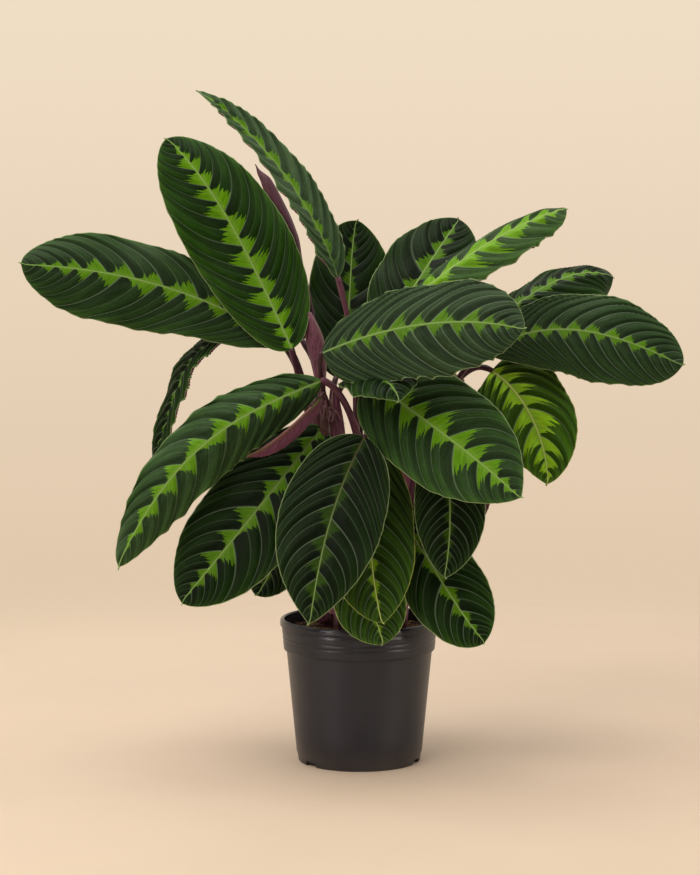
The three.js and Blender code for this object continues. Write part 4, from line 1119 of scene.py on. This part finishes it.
t = np.linspace(0, 1, ROLLED_STEPS + 1)
bm = bmesh.new()
path = bezier(curve_through(ROLLED_RIB), t)[0]
radii = np.interp(t, *np.transpose(ROLLED_RADII))
radii = np.convolve(np.pad(radii, ROLLED_SOFTENING // 2, mode="edge"),
                    np.full(ROLLED_SOFTENING, 1 / ROLLED_SOFTENING), mode="valid")
path[:, 0] += ROLLED_LEAN * smooth(t, 0.3, 0.5) * (1 - smooth(t, 0.88, 0.96))
tube(bm, path, ROLLED_BODY * radii, ROLLED_SIDES, np.tile((0.6, 0, 0), (len(t), 1)), ridges=0.04,
     rolled=0.3, start=0.6)
close_tubes(bm)
add_piece("rolled_leaf", mesh_from(bm, "rolled_leaf"), [stalk_material], "leaf_underside", "furled_leaf")

# ---- Floor, light and camera ----
# A plain pale floor, soft studio light from above on the left, and a camera that looks at the plant a
# little from above, as far off as a portrait lens needs.

FLOOR_COLOUR = "#ead5bf"
FLOOR_HALF = 9  # metres
FLOOR_FADE = (0.62, 1.35)  # metres from the pot between which the floor melts into the backdrop
BACKDROP_COLOUR = "#fbe8ce"
BACKDROP_LOW = "#ecd3b6"
SKY_COLOUR = "#ebe5db"
FRONT_COLOUR = "#76736f"
WORLD_STRENGTH = 0.9
CAMERA_PLACE = (-0.010, -2.800, 0.620)
CAMERA_TILT = -5.55
LENS_PIXELS = 2640  # focal length, in pixels of the picture
PICTURE = (700, 875)
SENSOR = 36  # millimetres along the picture's longer side
# Lamps, which all aim at a height on the plant's axis. The two small ones put a sheen on the pot's sides.
LIGHTS = {
    "key": dict(place=(-1.6, -2.1, 2.2), aim=0.35, size=(2.5, 2.5), power=37, spread=180, colour="#fff4e6"),
    "top": dict(place=(-0.3, 0.4, 2.6), aim=0.3, size=(1.4, 1.4), power=19, spread=180, colour="#fffaf2"),
    "left": dict(place=(-1.5, -1.5, 0.14), aim=0.07, size=(0.3, 0.3), power=0.072, spread=8,
                 colour="#fff2ee"),
    "right": dict(place=(1.9, -1.1, 0.14), aim=0.07, size=(0.36, 0.32), power=0.09, spread=8,
                  colour="#fff0e4"),
}


def plain_floor():
    """Smooth painted plaster: matt and pale, with a faint unevenness."""
    material, tree, skin = new_material("pale plaster floor")
    where = add(tree, "TexCoord").outputs["Object"]
    clouds = add(tree, "TexNoise", {"Vector": where, "Scale": 1000 / 300, "Detail": 4.0})
    shade = add(tree, "MapRange", [clouds, 0.3, 0.7, 0.96, 1.02])
    colour = add(tree, "VectorMath", [linear(FLOOR_COLOUR)[:3], shade], operation="MULTIPLY")
    wire(tree, skin, {"Base Color": colour, "Roughness": 0.75})
    away = add(tree, "VectorMath", [where], operation="LENGTH")
    gone = add(tree, "MapRange", [away, *FLOOR_FADE], interpolation_type="SMOOTHSTEP")
    clear = add(tree, "BsdfTransparent")
    faded = add(tree, "MixShader", [gone, skin, clear])
    wire(tree, tree.nodes["Material Output"], {"Surface": faded})
    return material


bm = bmesh.new()
bmesh.ops.create_grid(bm, x_segments=4, y_segments=4, size=FLOOR_HALF)
floor = show("floor", mesh_from(bm, "floor"))
floor.data.materials.append(plain_floor())

# The dome that lights the plant is cream behind it, grey in front and off-white above. The camera sees a
# plain backdrop in its place.
world = bpy.data.worlds.new("studio")
bpy.context.scene.world = world
world.use_nodes = True
tree = world.node_tree
way = add(tree, "SeparateXYZ", [add(tree, "TexCoord").outputs["Generated"]])
ahead = add(tree, "Math", [way.outputs["Y"], 0.0], operation="MINIMUM")
tipped = add(tree, "Math", [ahead, 0.35, way.outputs["Z"]], operation="MULTIPLY_ADD")
up = add(tree, "MapRange", [tipped, 0.1, 0.45], interpolation_type="SMOOTHSTEP")
front = add(tree, "MapRange", [way.outputs["Y"], 0.3, -0.6], interpolation_type="SMOOTHSTEP")
level = add(tree, "Mix", {"Factor": front, "A": linear(BACKDROP_COLOUR), "B": linear(FRONT_COLOUR)},
            data_type="RGBA")
dome = add(tree, "Mix", {"Factor": up, "A": level, "B": linear(SKY_COLOUR)}, data_type="RGBA")
height = add(tree, "MapRange", [way.outputs["Z"], -0.14, 0.06])
backdrop = add(tree, "Mix", {"Factor": height, "A": linear(BACKDROP_LOW), "B": linear(BACKDROP_COLOUR)},
               data_type="RGBA")
seen = add(tree, "LightPath").outputs["Is Camera Ray"]
colour = add(tree, "Mix", {"Factor": seen, "A": dome, "B": backdrop}, data_type="RGBA")
wire(tree, tree.nodes["Background"], {"Color": colour, "Strength": WORLD_STRENGTH})

for name, lamp in LIGHTS.items():
    data = bpy.data.lights.new(name, "AREA")
    data.shape = "RECTANGLE"
    data.size, data.size_y = lamp["size"]
    data.energy = lamp["power"]
    data.spread = math.radians(lamp["spread"])
    data.color = linear(lamp["colour"])[:3]
    light = show(name, data)
    light.location = lamp["place"]
    way = Vector((0, 0, lamp["aim"])) - Vector(lamp["place"])
    light.rotation_euler = way.to_track_quat("-Z", "Y").to_euler()

lens = bpy.data.cameras.new("camera")
lens.sensor_width = SENSOR
lens.lens = LENS_PIXELS / max(PICTURE) * SENSOR
camera = show("camera", lens)
camera.location = CAMERA_PLACE
camera.rotation_euler = (math.radians(90 + CAMERA_TILT), 0, 0)
bpy.context.scene.camera = camera
bpy.context.scene.view_settings.view_transform = "Standard"
